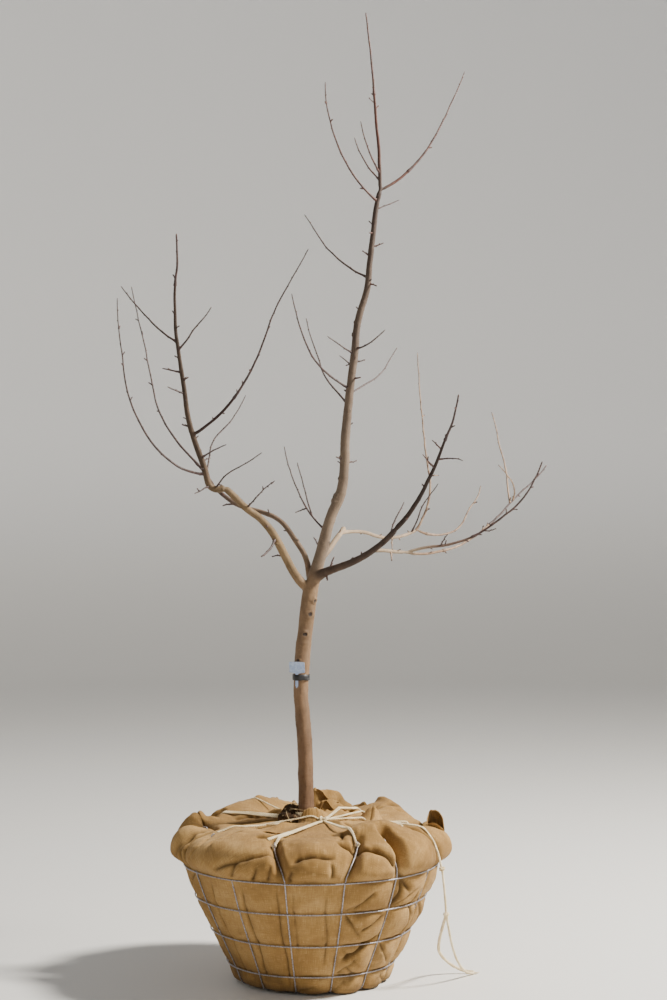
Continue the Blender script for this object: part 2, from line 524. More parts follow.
# ------------------------------------------------------------------ floor and light
def stage():
    g = Graph("pale_floor")
    g.set("Base Color", (0.72, 0.71, 0.69))
    g.set("Roughness", 0.9)
    up = g.node("ShaderNodeSeparateXYZ", [g.coords()]).outputs[2]
    g.set("Emission Color", (1.0, 0.99, 0.975))
    g.set("Emission Strength", g.range(up, 0.0, 2.6, 0.0, 0.25))
    mesh = bpy.data.meshes.new("floor")
    # a round floor that turns up into a wall far away on every side
    reach, fillet, height, n = 15.5, 4.0, 10.0, 96
    prof = [(3.0, 0.0), (7.0, 0.0), (reach - fillet, 0.0)]
    for k in range(1, 13):
        a = math.pi / 2 * k / 12
        prof.append((reach - fillet + fillet * math.sin(a), fillet - fillet * math.cos(a)))
    prof.append((reach, height))
    v, f = [(0.0, 0.0, -0.0006)], []
    for r, z in prof:
        v += [(r * math.cos(2 * math.pi * j / n), r * math.sin(2 * math.pi * j / n), z - 0.0006) for j in range(n)]
    for j in range(n):
        f.append((0, 1 + j, 1 + (j + 1) % n))
        for k in range(len(prof) - 1):
            o = 1 + k * n
            f.append((o + j, o + n + j, o + n + (j + 1) % n, o + (j + 1) % n))
    mesh.from_pydata(v, [], f)
    for p in mesh.polygons:
        p.use_smooth = True
    mesh.materials.append(g.material)
    floor = bpy.data.objects.new("floor", mesh)
    bpy.context.scene.collection.objects.link(floor)

    world = bpy.data.worlds.new("studio")
    world.use_nodes = True
    world.node_tree.nodes["Background"].inputs[0].default_value = (1.0, 0.99, 0.97, 1.0)
    world.node_tree.nodes["Background"].inputs[1].default_value = 0.20
    bpy.context.scene.world = world

    def light(name, at, towards, size, power, colour=(1, 1, 1)):
        data = bpy.data.lights.new(name, "AREA")
        data.shape = "DISK"
        data.size = size
        data.energy = power
        data.color = colour
        o = bpy.data.objects.new(name, data)
        o.location = at
        o.rotation_euler = (Vector(towards) - Vector(at)).to_track_quat("-Z", "Y").to_euler()
        bpy.context.scene.collection.objects.link(o)
    light("key", (4.95, -0.35, 5.5), (0.0, 0.0, 1.0), 1.2, 1450.0, (1.0, 0.955, 0.87))
    light("fill", (-3.5, -6.5, 3.6), (0.0, 0.0, 1.0), 4.5, 10.0, (0.92, 0.96, 1.0))
    light("rim", (-3.5, 4.5, 5.0), (0.0, 0.0, 1.4), 3.0, 60.0)


stage()
lap("stage")


# ------------------------------------------------------------------ bark skin over trunk and boughs
SKIN_TO = 8.6        # limbs are part of the skin while they are thicker than this
VOXEL = 0.00204

TONES = {            # each limb's own bark colour: foot and tip
    "trunk": (srgb(104, 80, 61), srgb(130, 107, 83)),
    "leader": (srgb(127, 112, 97), srgb(72, 60, 56)),
    "left_bough_lower": (srgb(128, 108, 80), srgb(110, 93, 70)),
    "left_bough_upper": (srgb(84, 69, 55), srgb(56, 45, 43)),
    "inner_left_bough": (srgb(130, 111, 92), srgb(88, 73, 66)),
    "right_bough_lower": (srgb(82, 67, 57), srgb(60, 48, 43)),
    "right_bough_upper": (srgb(59, 47, 42), srgb(50, 39, 37)),
    "lower_right_bough": (srgb(146, 131, 112), srgb(154, 139, 120)),
    "lower_right_front_limb": (srgb(102, 84, 74), srgb(60, 46, 43)),
    "rear_right_stem": (srgb(166, 148, 126), srgb(164, 147, 126)),
    "rear_right_arm": (srgb(156, 140, 120), srgb(142, 126, 110)),
}
YOUNG_TONES = {"dark": srgb(66, 48, 48), "red": srgb(86, 56, 50), "pale": srgb(148, 124, 104)}


def kind_of(name):
    if name.startswith(("lower_right", "rear_right")) and name not in ("rear_right_dark_shoot", "lower_right_front_limb"):
        return "pale"
    if name.startswith(("top_", "leader_top")):
        return "red"
    return "dark"


def tone_of(name, t):
    t = np.asarray(t, float)
    if name in TONES:
        a, b = (np.array(c) for c in TONES[name])
        own = a + (b - a) * t[:, None]
        parent = LIMBS[name].get("from")
        if not parent:
            return own
        foot = tone_of(parent, np.array([LIMBS[name]["at"]]))
        over = 42 if name.startswith("right_bough") else 110
        return foot + (own - foot) * smooth(0, over / LIMBS[name]["length"], t)[:, None]
    young = np.array(YOUNG_TONES[kind_of(name)])
    parent = LIMBS[name].get("from")
    base = np.array(TONES[parent][1]) if parent in TONES else young
    return base + (young - base) * smooth(0.0, 0.5, t / max(skin_share(name), 1e-3))[:, None]


def skin_share(name):
    """share of a limb's length that is part of the skin"""
    a, b = LIMBS[name]["girth"]
    if a < SKIN_TO + 0.25:
        return 0.0
    return 1.0 if b >= SKIN_TO else (a - SKIN_TO) / (a - b)


def wander(name, seed):
    """the limb's centreline with the small bends of real growth; its ends stay"""
    p, s = fine(paths[name], 3.0)
    rng = np.random.default_rng(seed)
    amp = 1.6 if name in ("trunk",) else 1.3
    n = np.stack([fractal(np.stack([s, np.full_like(s, 7.0 * k + seed), np.zeros_like(s)], 1), 75.0, seed + k, 2) for k in range(3)], 1)
    w = smooth(0, 45, s) * smooth(0, 45, s[-1] - s)
    return p + n * (amp * w)[:, None], s


limb_lines = {}


def settle(name, line, s):
    """shifts the foot of a limb on to its parent's line, dying out along it"""
    parent = LIMBS[name].get("from")
    if parent is None:
        return line
    pl, ps = limb_lines[parent]
    at = np.array([np.interp(LIMBS[name]["at"] * ps[-1], ps, pl[:, k]) for k in range(3)])
    return line + (at - line[0]) * (1 - smooth(0, min(140.0, 0.6 * s[-1]), s))[:, None]


skin_info = []        # name, points, radii, arc, frames
skin = Shape()
for index, name in enumerate(LIMBS):
    line, s = wander(name, 100 + index)
    line = settle(name, line, s)
    limb_lines[name] = (line, s)
    share = skin_share(name)
    if share <= 0:
        continue
    t = s / s[-1]
    keep = t <= share + 1e-9
    if keep.sum() < 6:
        continue
    p, ss = line[keep], s[keep]
    r = girth(name, t[keep]) / 2
    rng = np.random.default_rng(500 + index)
    # growth rings at the foot of each year's wood, and slight swellings
    for at in np.arange(60, ss[-1], 95) + rng.uniform(-25, 25, len(np.arange(60, ss[-1], 95))):
        r = r + 0.45 * bell(ss - at, 5.0) * (r / 12) ** 0.5
    r = r * (1 + 0.03 * fractal(np.stack([ss, np.full_like(ss, index * 5.0), np.zeros_like(ss)], 1), 60.0, 900 + index, 2))
    info_r = r.copy()
    if name != "trunk":
        parent = LIMBS[name]["from"]
        inside = girth(parent, LIMBS[name]["at"]) / 2
        cont = LIMBS[name]["at"] > 0.97
        if not cont:                            # the collar where it leaves its parent
            beyond = np.maximum(ss - inside * 0.85, 0)
            r = r * (1 + 0.30 * np.exp(-beyond / (r * 1.1 + 3)))
    # rounded end; where the limb goes on as a thinner shoot, the end sinks into it
    if name == "trunk":                         # runs on into the fork
        more = p[-1] + unit(p[-1] - p[-4]) * np.array([[6.0], [12.0], [18.0]])
        p, ss, r = np.vstack([p, more]), np.r_[ss, ss[-1] + [6, 12, 18]], np.r_[r, r[-1] * np.array([0.97, 0.86, 0.6])]
        info_r = np.r_[info_r, info_r[-1] * np.array([0.97, 0.86, 0.6])]
    elif name == "leader":                      # starts inside the trunk
        less = p[0] - unit(p[3] - p[0]) * np.array([[18.0], [12.0], [6.0]])
        p, ss, r = np.vstack([less, p]), np.r_[ss[0] - [18, 12, 6], ss], np.r_[r[0] * np.array([0.7, 0.88, 0.96]), r]
        info_r = np.r_[info_r[0] * np.array([0.7, 0.88, 0.96]), info_r]
    end = ss[-1] - ss
    er = r[-1]
    if name != "trunk":
        r = np.where(end < er, np.minimum(r, er * np.sqrt(np.maximum(1 - (1 - end / er) ** 2, 0.02))), r)
    if share < 1:
        r = np.where(end < 16, r * (0.72 + 0.28 * smooth(0, 16, end)), r)
    sides = 28 if r[0] > 18 else 20
    sweep(skin, p, r, sides)
    tan, nor, bi = frames_of(p)
    skin_info.append((name, p, info_r, ss, tan, nor, bi, index))


def remeshed(shape, name, voxel):
    obj = shape.build(name)
    m = obj.modifiers.new("remesh", "REMESH")
    m.mode = "VOXEL"
    m.voxel_size = voxel
    m.adaptivity = 0.0
    dg = bpy.context.evaluated_depsgraph_get()
    mesh = bpy.data.meshes.new_from_object(obj.evaluated_get(dg))
    v = read(mesh)
    loops = np.empty(len(mesh.loops), np.int32)
    mesh.loops.foreach_get("vertex_index", loops)
    total = np.empty(len(mesh.polygons), np.int32)
    mesh.polygons.foreach_get("loop_total", total)
    start = np.empty(len(mesh.polygons), np.int32)
    mesh.polygons.foreach_get("loop_start", start)
    q = start[total == 4][:, None] + np.arange(4)
    t = start[total == 3][:, None] + np.arange(3)
    out = v, loops[q].astype(np.int64), loops[t].astype(np.int64)
    bpy.data.objects.remove(obj)
    bpy.data.meshes.remove(mesh)
    return out


def edges_of(q, t):
    e = [q[:, [0, 1]], q[:, [1, 2]], q[:, [2, 3]], q[:, [3, 0]]]
    if len(t):
        e += [t[:, [0, 1]], t[:, [1, 2]], t[:, [2, 0]]]
    e = np.sort(np.vstack(e), 1)
    return np.unique(e[:, 0] * 10_000_000 + e[:, 1])


def relaxer(n, q, t):
    e = edges_of(q, t)
    a, b = e // 10_000_000, e % 10_000_000
    count = np.maximum(np.bincount(a, minlength=n) + np.bincount(b, minlength=n), 1)

    def mean(values):
        out = np.empty_like(values)
        for k in range(values.shape[1]):
            out[:, k] = np.bincount(a, values[b, k], n) + np.bincount(b, values[a, k], n)
        return out / count[:, None]
    return mean


def normals_of(v, q, t):
    n = np.zeros_like(v)
    fq = np.cross(v[q[:, 2]] - v[q[:, 0]], v[q[:, 3]] - v[q[:, 1]])
    for k in range(4):
        for c in range(3):
            n[:, c] += np.bincount(q[:, k], fq[:, c], len(v))
    if len(t):
        ft = np.cross(v[t[:, 1]] - v[t[:, 0]], v[t[:, 2]] - v[t[:, 0]])
        for k in range(3):
            for c in range(3):
                n[:, c] += np.bincount(t[:, k], ft[:, c], len(v))
    return unit(n)


v, q, t = remeshed(skin, "skin_raw", VOXEL)
lap("bark remeshed: %d faces" % (2 * len(q) + len(t)))

# nearest limb of each point
v_mm = v * 1000
best = np.full(len(v), 1e9)
second = np.full(len(v), 1e9)
owner = np.zeros(len(v), int)
spot = np.zeros(len(v), int)
for k, (name, p, r, ss, tan, nor, bi, index) in enumerate(skin_info):
    lo, hi = p.min(0) - 60, p.max(0) + 60
    near = np.flatnonzero(((v_mm > lo) & (v_mm < hi)).all(1))
    step = p[::2]
    rs = r[::2]
    for chunk in np.array_split(near, max(1, len(near) // 20000)):
        if not len(chunk):
            continue
        x = v_mm[chunk]
        d2 = (x ** 2).sum(1)[:, None] - 2 * x @ step.T + (step ** 2).sum(1)[None]
        j = d2.argmin(1)
        d = np.sqrt(np.maximum(d2[np.arange(len(x)), j], 0)) - rs[j]
        is_best = d < best[chunk]
        second[chunk] = np.where(is_best, best[chunk], np.minimum(second[chunk], d))
        owner[chunk] = np.where(is_best, k, owner[chunk])
        spot[chunk] = np.where(is_best, j * 2, spot[chunk])
        best[chunk] = np.where(is_best, d, best[chunk])

mean = relaxer(len(v), q, t)
join = smooth(11.0, 1.5, second)[:, None]
co = v.copy()
for step in range(10):
    move = mean(co) - co
    lam = 0.5 if step % 2 == 0 else -0.52
    co = co + move * lam
for step in range(22):
    co = co + (mean(co) - co) * 0.6 * join
normal = normals_of(co, q, t)

# local place on the limb and its colour
at = np.zeros_like(co)
tone = np.zeros_like(co)
radius_here = np.zeros(len(co))
arc = np.zeros(len(co))
turn = np.zeros(len(co))
for k, (name, p, r, ss, tan, nor, bi, index) in enumerate(skin_info):
    m = owner == k
    j = np.minimum(spot[m], len(p) - 1)
    d = co[m] * 1000 - p[j]
    a, b, c = (d * nor[j]).sum(1), (d * bi[j]).sum(1), (d * tan[j]).sum(1)
    at[m] = np.stack([a, b, ss[j] + c + 2317.0 * index], 1) / 1000
    total = LIMBS[name]["length"]
    tone[m] = tone_of(name, np.clip((ss[j] + c) / total, 0, 1))
    radius_here[m] = r[j]
    arc[m] = ss[j] + c
    turn[m] = np.arctan2(b, a)
for _ in range(40):
    tone = tone + (mean(tone) - tone) * 0.8

# relief
mm = co * 1000
lift = 0.55 * fractal(mm * [1, 1, 0.6], 26.0, 11, 3) * np.clip(radius_here / 18, 0.3, 1.2)
lift += 0.22 * fractal(mm, 7.0, 12, 2) * np.clip(radius_here / 14, 0.3, 1.0)
is_trunk = owner == 0
flutes = np.cos(3 * turn + 0.9 + 0.002 * arc) * (0.5 + 2.6 * np.exp(-arc / 70.0)) + 0.6 * np.cos(2 * turn - 1.0 + 0.003 * arc)
lift += np.where(is_trunk, flutes, 0)
scar = np.zeros(len(co))
# pruning scars and knots: limb, share of its length, bearing from the front towards +X, size, height
SCARS = [
    ("leader", 0.236, -80, 15, 5.5), ("leader", 0.335, -95, 7, 4.5), ("leader", 0.285, -70, 6, 3.0), ("leader", 0.64, -85, 6, 3.4),
    ("leader", 0.67, -100, 5, 2.6), ("leader", 0.12, 60, 7, 2.0), ("leader", 0.45, 40, 5, 1.6), ("left_bough_lower", 0.985, -60, 7, 3.5),
    ("left_bough_lower", 0.42, -30, 6, 2.2), ("inner_left_bough", 0.335, 30, 8, 3.6), ("trunk", 0.81, 6, 15, 3.2), ("trunk", 0.70, -30, 10, 2.2), ("trunk", 0.895, 24, 16, 3.4), ("trunk", 0.955, 48, 12, 3.4),
    ("trunk", 0.62, 150, 8, 1.8), ("trunk", 0.36, 70, 6, 1.3), ("trunk", 0.93, 160, 9, 2.4), ("right_bough_lower", 0.5, 170, 5, 1.8),
    ("right_bough_lower", 0.75, 10, 5, 1.5), ("left_bough_upper", 0.2, 120, 5, 1.6), ("leader", 0.2, 170, 7, 2.2), ("leader", 0.56, 150, 5, 1.8),
]
for name, share, bearing, size, height in SCARS:
    line, s = limb_lines[name]
    c = np.array([np.interp(share * s[-1], s, line[:, k]) for k in range(3)])
    out = np.array([math.sin(math.radians(bearing)), -math.cos(math.radians(bearing)), 0.0])
    c = c + out * girth(name, share) / 2
    d = np.linalg.norm(mm - c, axis=1) / size
    near = np.flatnonzero(d < 4)
    d[near] *= 1 + 0.28 * fractal(mm[near], 9.0, 19, 2)
    lift += height * (bell(d - 0.62, 0.42) * 0.75 + 0.35 * bell(d, 1.0)) * (d < 3) - 0.35 * height * bell(d, 0.42)
    scar = np.maximum(scar, smooth(0.62, 0.30, d))
co = co + normal * (lift / 1000)[:, None]
lap("bark relief")

BARK = bark_material()
LEFT = [k for k, info in enumerate(skin_info) if "left" in info[0] and not info[0].startswith("top")]
on_left = np.isin(owner, LEFT)
group = np.where(co[:, 2] < 1.02, 0, np.where(on_left, 1, 2))
skinned = [n for n in LIMBS if skin_share(n) > 0 and n != "trunk"]
PIECES = [("bark_trunk", 0, ["trunk"]), ("bark_left_boughs", 1, [n for n in skinned if "left" in n and not n.startswith("top")]),
          ("bark_leader_and_right_boughs", 2, [n for n in skinned if "left" not in n or n.startswith("top")])]
nrm = normals_of(co, q, t)


def part_at_joints(faces):
    """faces over the joint of two limbs get corners of their own, placed on one limb"""
    global co, at, tone, scar, nrm, group
    if not len(faces):
        return faces
    face_owner = owner_all[faces].min(1)
    wrong = owner_all[faces] != face_owner[:, None]
    fi, ci = np.nonzero(wrong)
    if not len(fi):
        return faces
    key = faces[fi, ci] * 1000 + face_owner[fi]
    pairs, where = np.unique(key, return_inverse=True)
    vert, limb = pairs // 1000, pairs % 1000
    fresh = np.zeros((len(pairs), 3))
    for k in np.unique(limb):
        name, p, r, ss, tan, nor, bi, index = skin_info[k]
        m = limb == k
        x = co[vert[m]] * 1000
        j = ((x[:, None] - p[None]) ** 2).sum(2).argmin(1)
        d = x - p[j]
        fresh[m] = np.stack([(d * nor[j]).sum(1), (d * bi[j]).sum(1), ss[j] + (d * tan[j]).sum(1) + 2317.0 * index], 1) / 1000
    faces = faces.copy()
    faces[fi, ci] = len(co) + where.ravel()
    co, nrm = np.vstack([co, co[vert]]), np.vstack([nrm, nrm[vert]])
    at, tone = np.vstack([at, fresh]), np.vstack([tone, tone[vert]])
    scar, group = np.concatenate([scar, scar[vert]]), np.concatenate([group, group[vert]])
    return faces


owner_all = owner
q_out = part_at_joints(q)
owner_all = np.concatenate([owner, np.zeros(len(co) - len(owner), int)])
t_out = part_at_joints(t) if len(t) else t
q, t = q_out, t_out
for name, which, nodes in PIECES:
    qq = q[group[q].min(1) == which]
    tt = t[group[t].min(1) == which] if len(t) else t
    used = np.unique(np.concatenate([qq.ravel(), tt.ravel()]))
    back = np.full(len(co), -1)
    back[used] = np.arange(len(used))
    mesh = raw_mesh(name, co[used], back[qq], back[tt] if len(tt) else None)
    put(mesh, "bark_at", at[used])
    put(mesh, "bark_tone", tone[used])
    put(mesh, "bark_scar", scar[used])
    mesh.normals_split_custom_set_from_vertices(nrm[used].tolist())
    obj = place(name, mesh, BARK)
    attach(obj, "root")
    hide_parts(*nodes)
    print(name, "triangles", 2 * len(qq) + len(tt))
lap("bark")

# ------------------------------------------------------------------ young shoots, twigs, spurs and buds
shoots = {"dark": Shape(), "red": Shape(), "pale": Shape()}
buds = Shape()


def bud(at, direction, length, width, lean=None, sides=7):
    """a pointed scaly bud; lean bends its tip"""
    u = np.array([0.0, 0.12, 0.30, 0.50, 0.70, 0.87, 1.0])
    w = np.array([0.62, 0.90, 1.0, 0.93, 0.66, 0.36, 0.07]) * width / 2
    direction = unit(np.asarray(direction, float))
    p = at + direction * (u * length)[:, None]
    if lean is not None:
        p = p + lean * (u ** 2 * length * 0.22)[:, None]
    scale = 1 + 0.10 * np.cos(2 * np.pi * (u[:, None] * 2.2 + np.linspace(0, 1, sides, endpoint=False)[None] * 2))
    sweep(buds, p, w[:, None] * scale, sides, caps=(False, True))


def perpendicular(tangent, angle):
    n = np.cross(tangent, [0.3, 0.9, 0.2])
    n = n / max(np.linalg.norm(n), 1e-9)
    b = np.cross(tangent, n)
    return n * math.cos(angle) + b * math.sin(angle)


def shoot(shape, line, d0, d1, rng, inside=0.0, spacing=(24, 40), spur_chance=0.0, bud_size=1.0, sides=9, first=10.0):
    """a young shoot along a line: zigzag at its nodes, a bud at each, a fatter bud at the tip"""
    p, s = fine(line, 3.2)
    total = s[-1]
    t = s / total
    r = (d0 + (d1 - d0) * t) / 2
    at = inside + first * rng.uniform(0.7, 1.3)
    places, angle = [], rng.uniform(0, 6.28)
    tan, nor, bi = frames_of(p)
    while at < total - 9:
        places.append((at, angle))
        at += rng.uniform(*spacing) * (0.72 + 0.28 * min(1.0, total / 250))
        angle += math.radians(137.5 + rng.uniform(-14, 14))
    knots, offsets = [0.0, inside], [np.zeros(3), np.zeros(3)]
    for at, angle in places:
        i = min(int(at / 3.2), len(p) - 1)
        knots.append(at)
        offsets.append((nor[i] * math.cos(angle) + bi[i] * math.sin(angle)) * rng.uniform(0.25, 0.75))
    knots.append(total)
    offsets.append(np.zeros(3))
    offsets = np.array(offsets)
    zig = np.stack([np.interp(s, knots, offsets[:, k]) for k in range(3)], 1)
    p = p + zig
    for at, _ in places:
        r = r + (0.16 + 0.07 * r) * bell(s - at, 2.6)
    beyond = np.maximum(s - inside, 0)
    r = r + 0.42 * d0 / 2 * np.exp(-beyond / (1.1 * d0))
    for k in range(3):                              # the ring scars at its foot
        r = r + 0.22 * bell(s - inside - 5.5 - 2.1 * k, 0.9) * (1 if total > 60 else 0.6)
    if d1 < 3.8:
        r = np.where(total - s < 3.2, r * (0.80 + 0.2 * (total - s) / 3.2), r)
    rim = r[:, None] * (1 + 0.035 * rng.standard_normal((len(r), sides)))
    sweep(shape, p, rim, sides)
    tan, nor, bi = frames_of(p)
    for at, angle in places:
        if at < inside + 4:
            continue
        i = min(int(round(at / 3.2)), len(p) - 1)
        out = nor[i] * math.cos(angle) + bi[i] * math.sin(angle)
        where = p[i] + out * (r[i] * 0.72)
        size = bud_size * rng.uniform(0.8, 1.2)
        if rng.random() < spur_chance:
            little_spur(shape, p[i], out, tan[i], r[i], rng, rng.uniform(3.5, 9.0))
        else:
            bud(where, tan[i] * 0.86 + out * 0.52, 4.3 * size, 2.5 * size, -out * 0.5)
    bud(p[-1] - tan[-1] * 0.6, tan[-1], rng.uniform(4.6, 6.2) * bud_size, max(2.3, d1 * 0.88) * bud_size, None)
    return p, r


def little_spur(shape, at, out, tangent, parent_r, rng, length):
    """a stubby fruiting spur: crowded ring scars and one or two fat buds"""
    direction = unit(out * 0.9 + tangent * rng.uniform(0.15, 0.6) + rng.normal(0, 0.12, 3))
    bend = unit(direction + tangent * 0.5 + np.array([0, 0, 0.35]))
    n = max(6, int((length + parent_r) / 0.9))
    u = np.linspace(0, 1, n)
    p = at + direction * (u * (length + parent_r))[:, None] + (bend - direction) * ((u ** 2) * length * 0.5)[:, None]
    base = rng.uniform(1.7, 2.3)
    s = u * (length + parent_r)
    r = base * (1.25 - 0.35 * smooth(parent_r, parent_r + 4, s)) + 0.24 * np.cos(s * 2 * np.pi / 1.9) + 0.35 * bell(s - s[-1], 2.0)
    r = r + 0.9 * np.exp(-np.maximum(s - parent_r, 0) / 1.6)
    sweep(shape, p, np.maximum(r, 0.8), 8)
    end = unit(p[-1] - p[-2])
    size = rng.uniform(0.9, 1.25)
    bud(p[-1] - end * 0.7, end, 6.2 * size, 4.0 * size, None, 8)
    if rng.random() < 0.35:
        side = perpendicular(end, rng.uniform(0, 6.28))
        bud(p[-2] + side * 0.8, end * 0.5 + side, 4.4 * size, 2.8 * size, end * 0.4)


for index, (name, limb) in enumerate(LIMBS.items()):
    share = skin_share(name)
    if share >= 1:
        continue
    rng = np.random.default_rng(7000 + index)
    line, s = limb_lines[name]
    shape = shoots[kind_of(name)]
    a, b = girth(name, 0.0), girth(name, 1.0)
    if share > 0:
        start = max(0.0, share * s[-1] - 20)
        m = s >= start
        p = line[m]
        d0 = float(girth(name, start / s[-1])) * 0.93
        seg_inside = 6.0
    else:
        p = line
        d0 = a
        seg_inside = girth(limb["from"], limb["at"]) / 2 if limb["at"] < 0.97 else 3.0
    older = name in ("left_arc_shoot", "lower_right_front_limb", "lower_right_rear_limb", "second_left_shoot", "far_left_shoot", "left_bough_upper", "right_bough_upper", "rear_right_upright")
    if name == "lower_right_rear_limb":         # pale older wood, then a dark younger length
        k = int(np.searchsorted(s, 0.52 * s[-1]) - (len(s) - len(p)))
        mid = float(girth(name, 0.52))
        shoot(shape, p[:k + 2], d0, mid, rng, inside=8.0, spur_chance=0.2, first=16)
        shoot(shoots["dark"], p[k:], mid * 0.98, b, rng, inside=3.0, spur_chance=0.12, first=14)
    elif share > 0:
        # no flare where it carries on from the skin
        shoot(shape, p, d0, b, rng, inside=8.0, spur_chance=0.2 if older else 0.05, first=16)
    else:
        shoot(shape, p, d0, b, rng, inside=float(seg_inside), spur_chance=0.22 if older else 0.06)


def on_limb(name, t):
    line, s = limb_lines[name]
    x = t * s[-1]
    c = np.array([np.interp(x, s, line[:, k]) for k in range(3)])
    d = np.array([np.interp(min(x + 4, s[-1]), s, line[:, k]) - np.interp(max(x - 4, 0), s, line[:, k]) for k in range(3)])
    return c, d / np.linalg.norm(d)


for index, (parent, share, length, (d0, d1), lean, back) in enumerate(TWIGS):
    rng = np.random.default_rng(8000 + index)
    c, d = on_limb(parent, share)
    line = grow(c, length, lean, [back])
    shape = shoots["red" if parent.startswith(("leader", "right")) and index % 3 else kind_of(parent)]
    inside = girth(parent, share) / 2
    if length < 60:
        # a stout spur
        shoot(shape, line, d0 * 0.86, max(3.4, d1 * 0.9), rng, inside=float(inside), spacing=(11, 17), bud_size=1.15, first=7)
        tip = line[-1]
        side = perpendicular(unit(line[-1] - line[-3]), rng.uniform(0, 6.28))
        bud(tip - side * 0.3, unit(line[-1] - line[-3]) * 0.6 + side, 5.2, 3.3)
    else:
        shoot(shape, line, d0, d1, rng, inside=float(inside), spacing=(17, 28), spur_chance=0.15)

# spurs scattered over the older wood by rule
for index, (name, first, last, gap) in enumerate([
        ("leader", 0.30, 0.97, 95), ("leader_top", 0.1, 0.6, 70), ("left_bough_lower", 0.35, 0.95, 110), ("left_bough_upper", 0.06, 0.8, 72),
        ("inner_left_bough", 0.3, 0.95, 90), ("right_bough_lower", 0.25, 0.95, 85), ("right_bough_upper", 0.05, 0.8, 70),
        ("lower_right_bough", 0.2, 0.95, 80), ("rear_right_arm", 0.2, 0.95, 85), ("left_arc_shoot", 0.08, 0.5, 70), ("lower_right_front_limb", 0.1, 0.7, 65),
        ("lower_right_rear_limb", 0.1, 0.6, 70), ("rear_right_stem", 0.3, 0.8, 60)]):
    rng = np.random.default_rng(9000 + index)
    length = LIMBS[name]["length"]
    s, angle = first * length + rng.uniform(0, gap), rng.uniform(0, 6.28)
    while s < last * length:
        c, d = on_limb(name, s / length)
        out = perpendicular(d, angle)
        shape = shoots[kind_of(name)]
        little_spur(shape, c, out, d, float(girth(name, s / length)) / 2, rng, rng.uniform(3, 11))
        s += gap * rng.uniform(0.55, 1.5)
        angle += math.radians(137.5 + rng.uniform(-30, 30))

MATS = {
    "dark": shoot_material("young_bark_dark", srgb(80, 60, 56), srgb(54, 40, 39)),
    "red": shoot_material("young_bark_red", srgb(94, 64, 56), srgb(62, 42, 40)),
    "pale": shoot_material("young_bark_pale", srgb(158, 134, 112), srgb(116, 94, 80), 0.6),
    "straw": shoot_material("dry_rootlets", srgb(196, 176, 140), srgb(150, 126, 92), 0.8),
    "bud": shoot_material("bud_scales", srgb(92, 60, 48), srgb(52, 32, 28), 0.42),
}
young = [n for n in LIMBS if n not in BOUGHS]
for kind, shape in shoots.items():
    print("shoots", kind, shape.faces())
    obj = shape.build("shoots_" + kind, MATS[kind])
    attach(obj, "root")
    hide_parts(*[n for n in young if kind_of(n) == kind])
obj = buds.build("buds", MATS["bud"])
print("buds", buds.faces())
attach(obj, "root")
lap("shoots")

# ------------------------------------------------------------------ burlap
# The cloth is worked out over an upright section of the ball: s is the distance along it in mm, 0 at the top
# hoop, up over the shoulder to the trunk, negative down the side to the middle of the flat underside.
SIDE = [(0, 0), (236, 0), (264, 13), (287, 66), (342, 178), (395, 291), (434, 397)]
TOP = [(434, 397), (441, 422), (432, 452), (404, 477), (356, 497), (300, 511), (240, 522), (180, 532), (120, 540), (60, 546), (36, 549), (20, 540)]


def section():
    pts = np.array(SIDE + TOP[1:], float)
    seg = np.r_[0, np.cumsum(np.linalg.norm(np.diff(pts, axis=0), axis=1))]
    zero = seg[len(SIDE) - 1]
    s = np.arange(0, seg[-1], 1.5)
    r, z = np.interp(s, seg, pts[:, 0]), np.interp(s, seg, pts[:, 1])
    body = s > seg[1] + 40
    k = np.ones(21) / 21
    r2, z2 = np.convolve(r, k, "same"), np.convolve(z, k, "same")
    soft = body & (s < seg[-1] - 25)
    r, z = np.where(soft, r2, r), np.where(soft, z2, z)
    dr, dz = np.gradient(r), np.gradient(z)
    n = unit(np.stack([dz, -dr], 1))
    return s - zero, r, z, n


SEC_S, SEC_R, SEC_Z, SEC_N = section()
S_MIN, S_MAX = float(SEC_S[0]), float(SEC_S[-1])


def base_at(b, s):
    """point and outward direction on the plain section; b is the bearing in degrees from the front towards +X"""
    r, z = np.interp(s, SEC_S, SEC_R), np.interp(s, SEC_S, SEC_Z)
    nr, nz = np.interp(s, SEC_S, SEC_N[:, 0]), np.interp(s, SEC_S, SEC_N[:, 1])
    sb, cb = np.sin(np.radians(b)), np.cos(np.radians(b))
    p = np.stack([r * sb, -r * cb, z], -1)
    n = np.stack([nr * sb, -nr * cb, nz], -1)
    return p, n


def s_of_r(r):
    """distance along the top of the section for a radius"""
    m = SEC_S > 60
    return np.interp(-np.asarray(r, float), -SEC_R[m], SEC_S[m])


def away(b, b0):
    return (np.asarray(b) - b0 + 180.0) % 360.0 - 180.0


HOOP_S = [0.0] + list(-np.cumsum([math.hypot(RINGS[i][0] - RINGS[i - 1][0], RINGS[i][1] - RINGS[i - 1][1]) for i in (3, 2, 1)]))
bearings = SPOKE_TURN + np.arange(SPOKES) * 360.0 / SPOKES

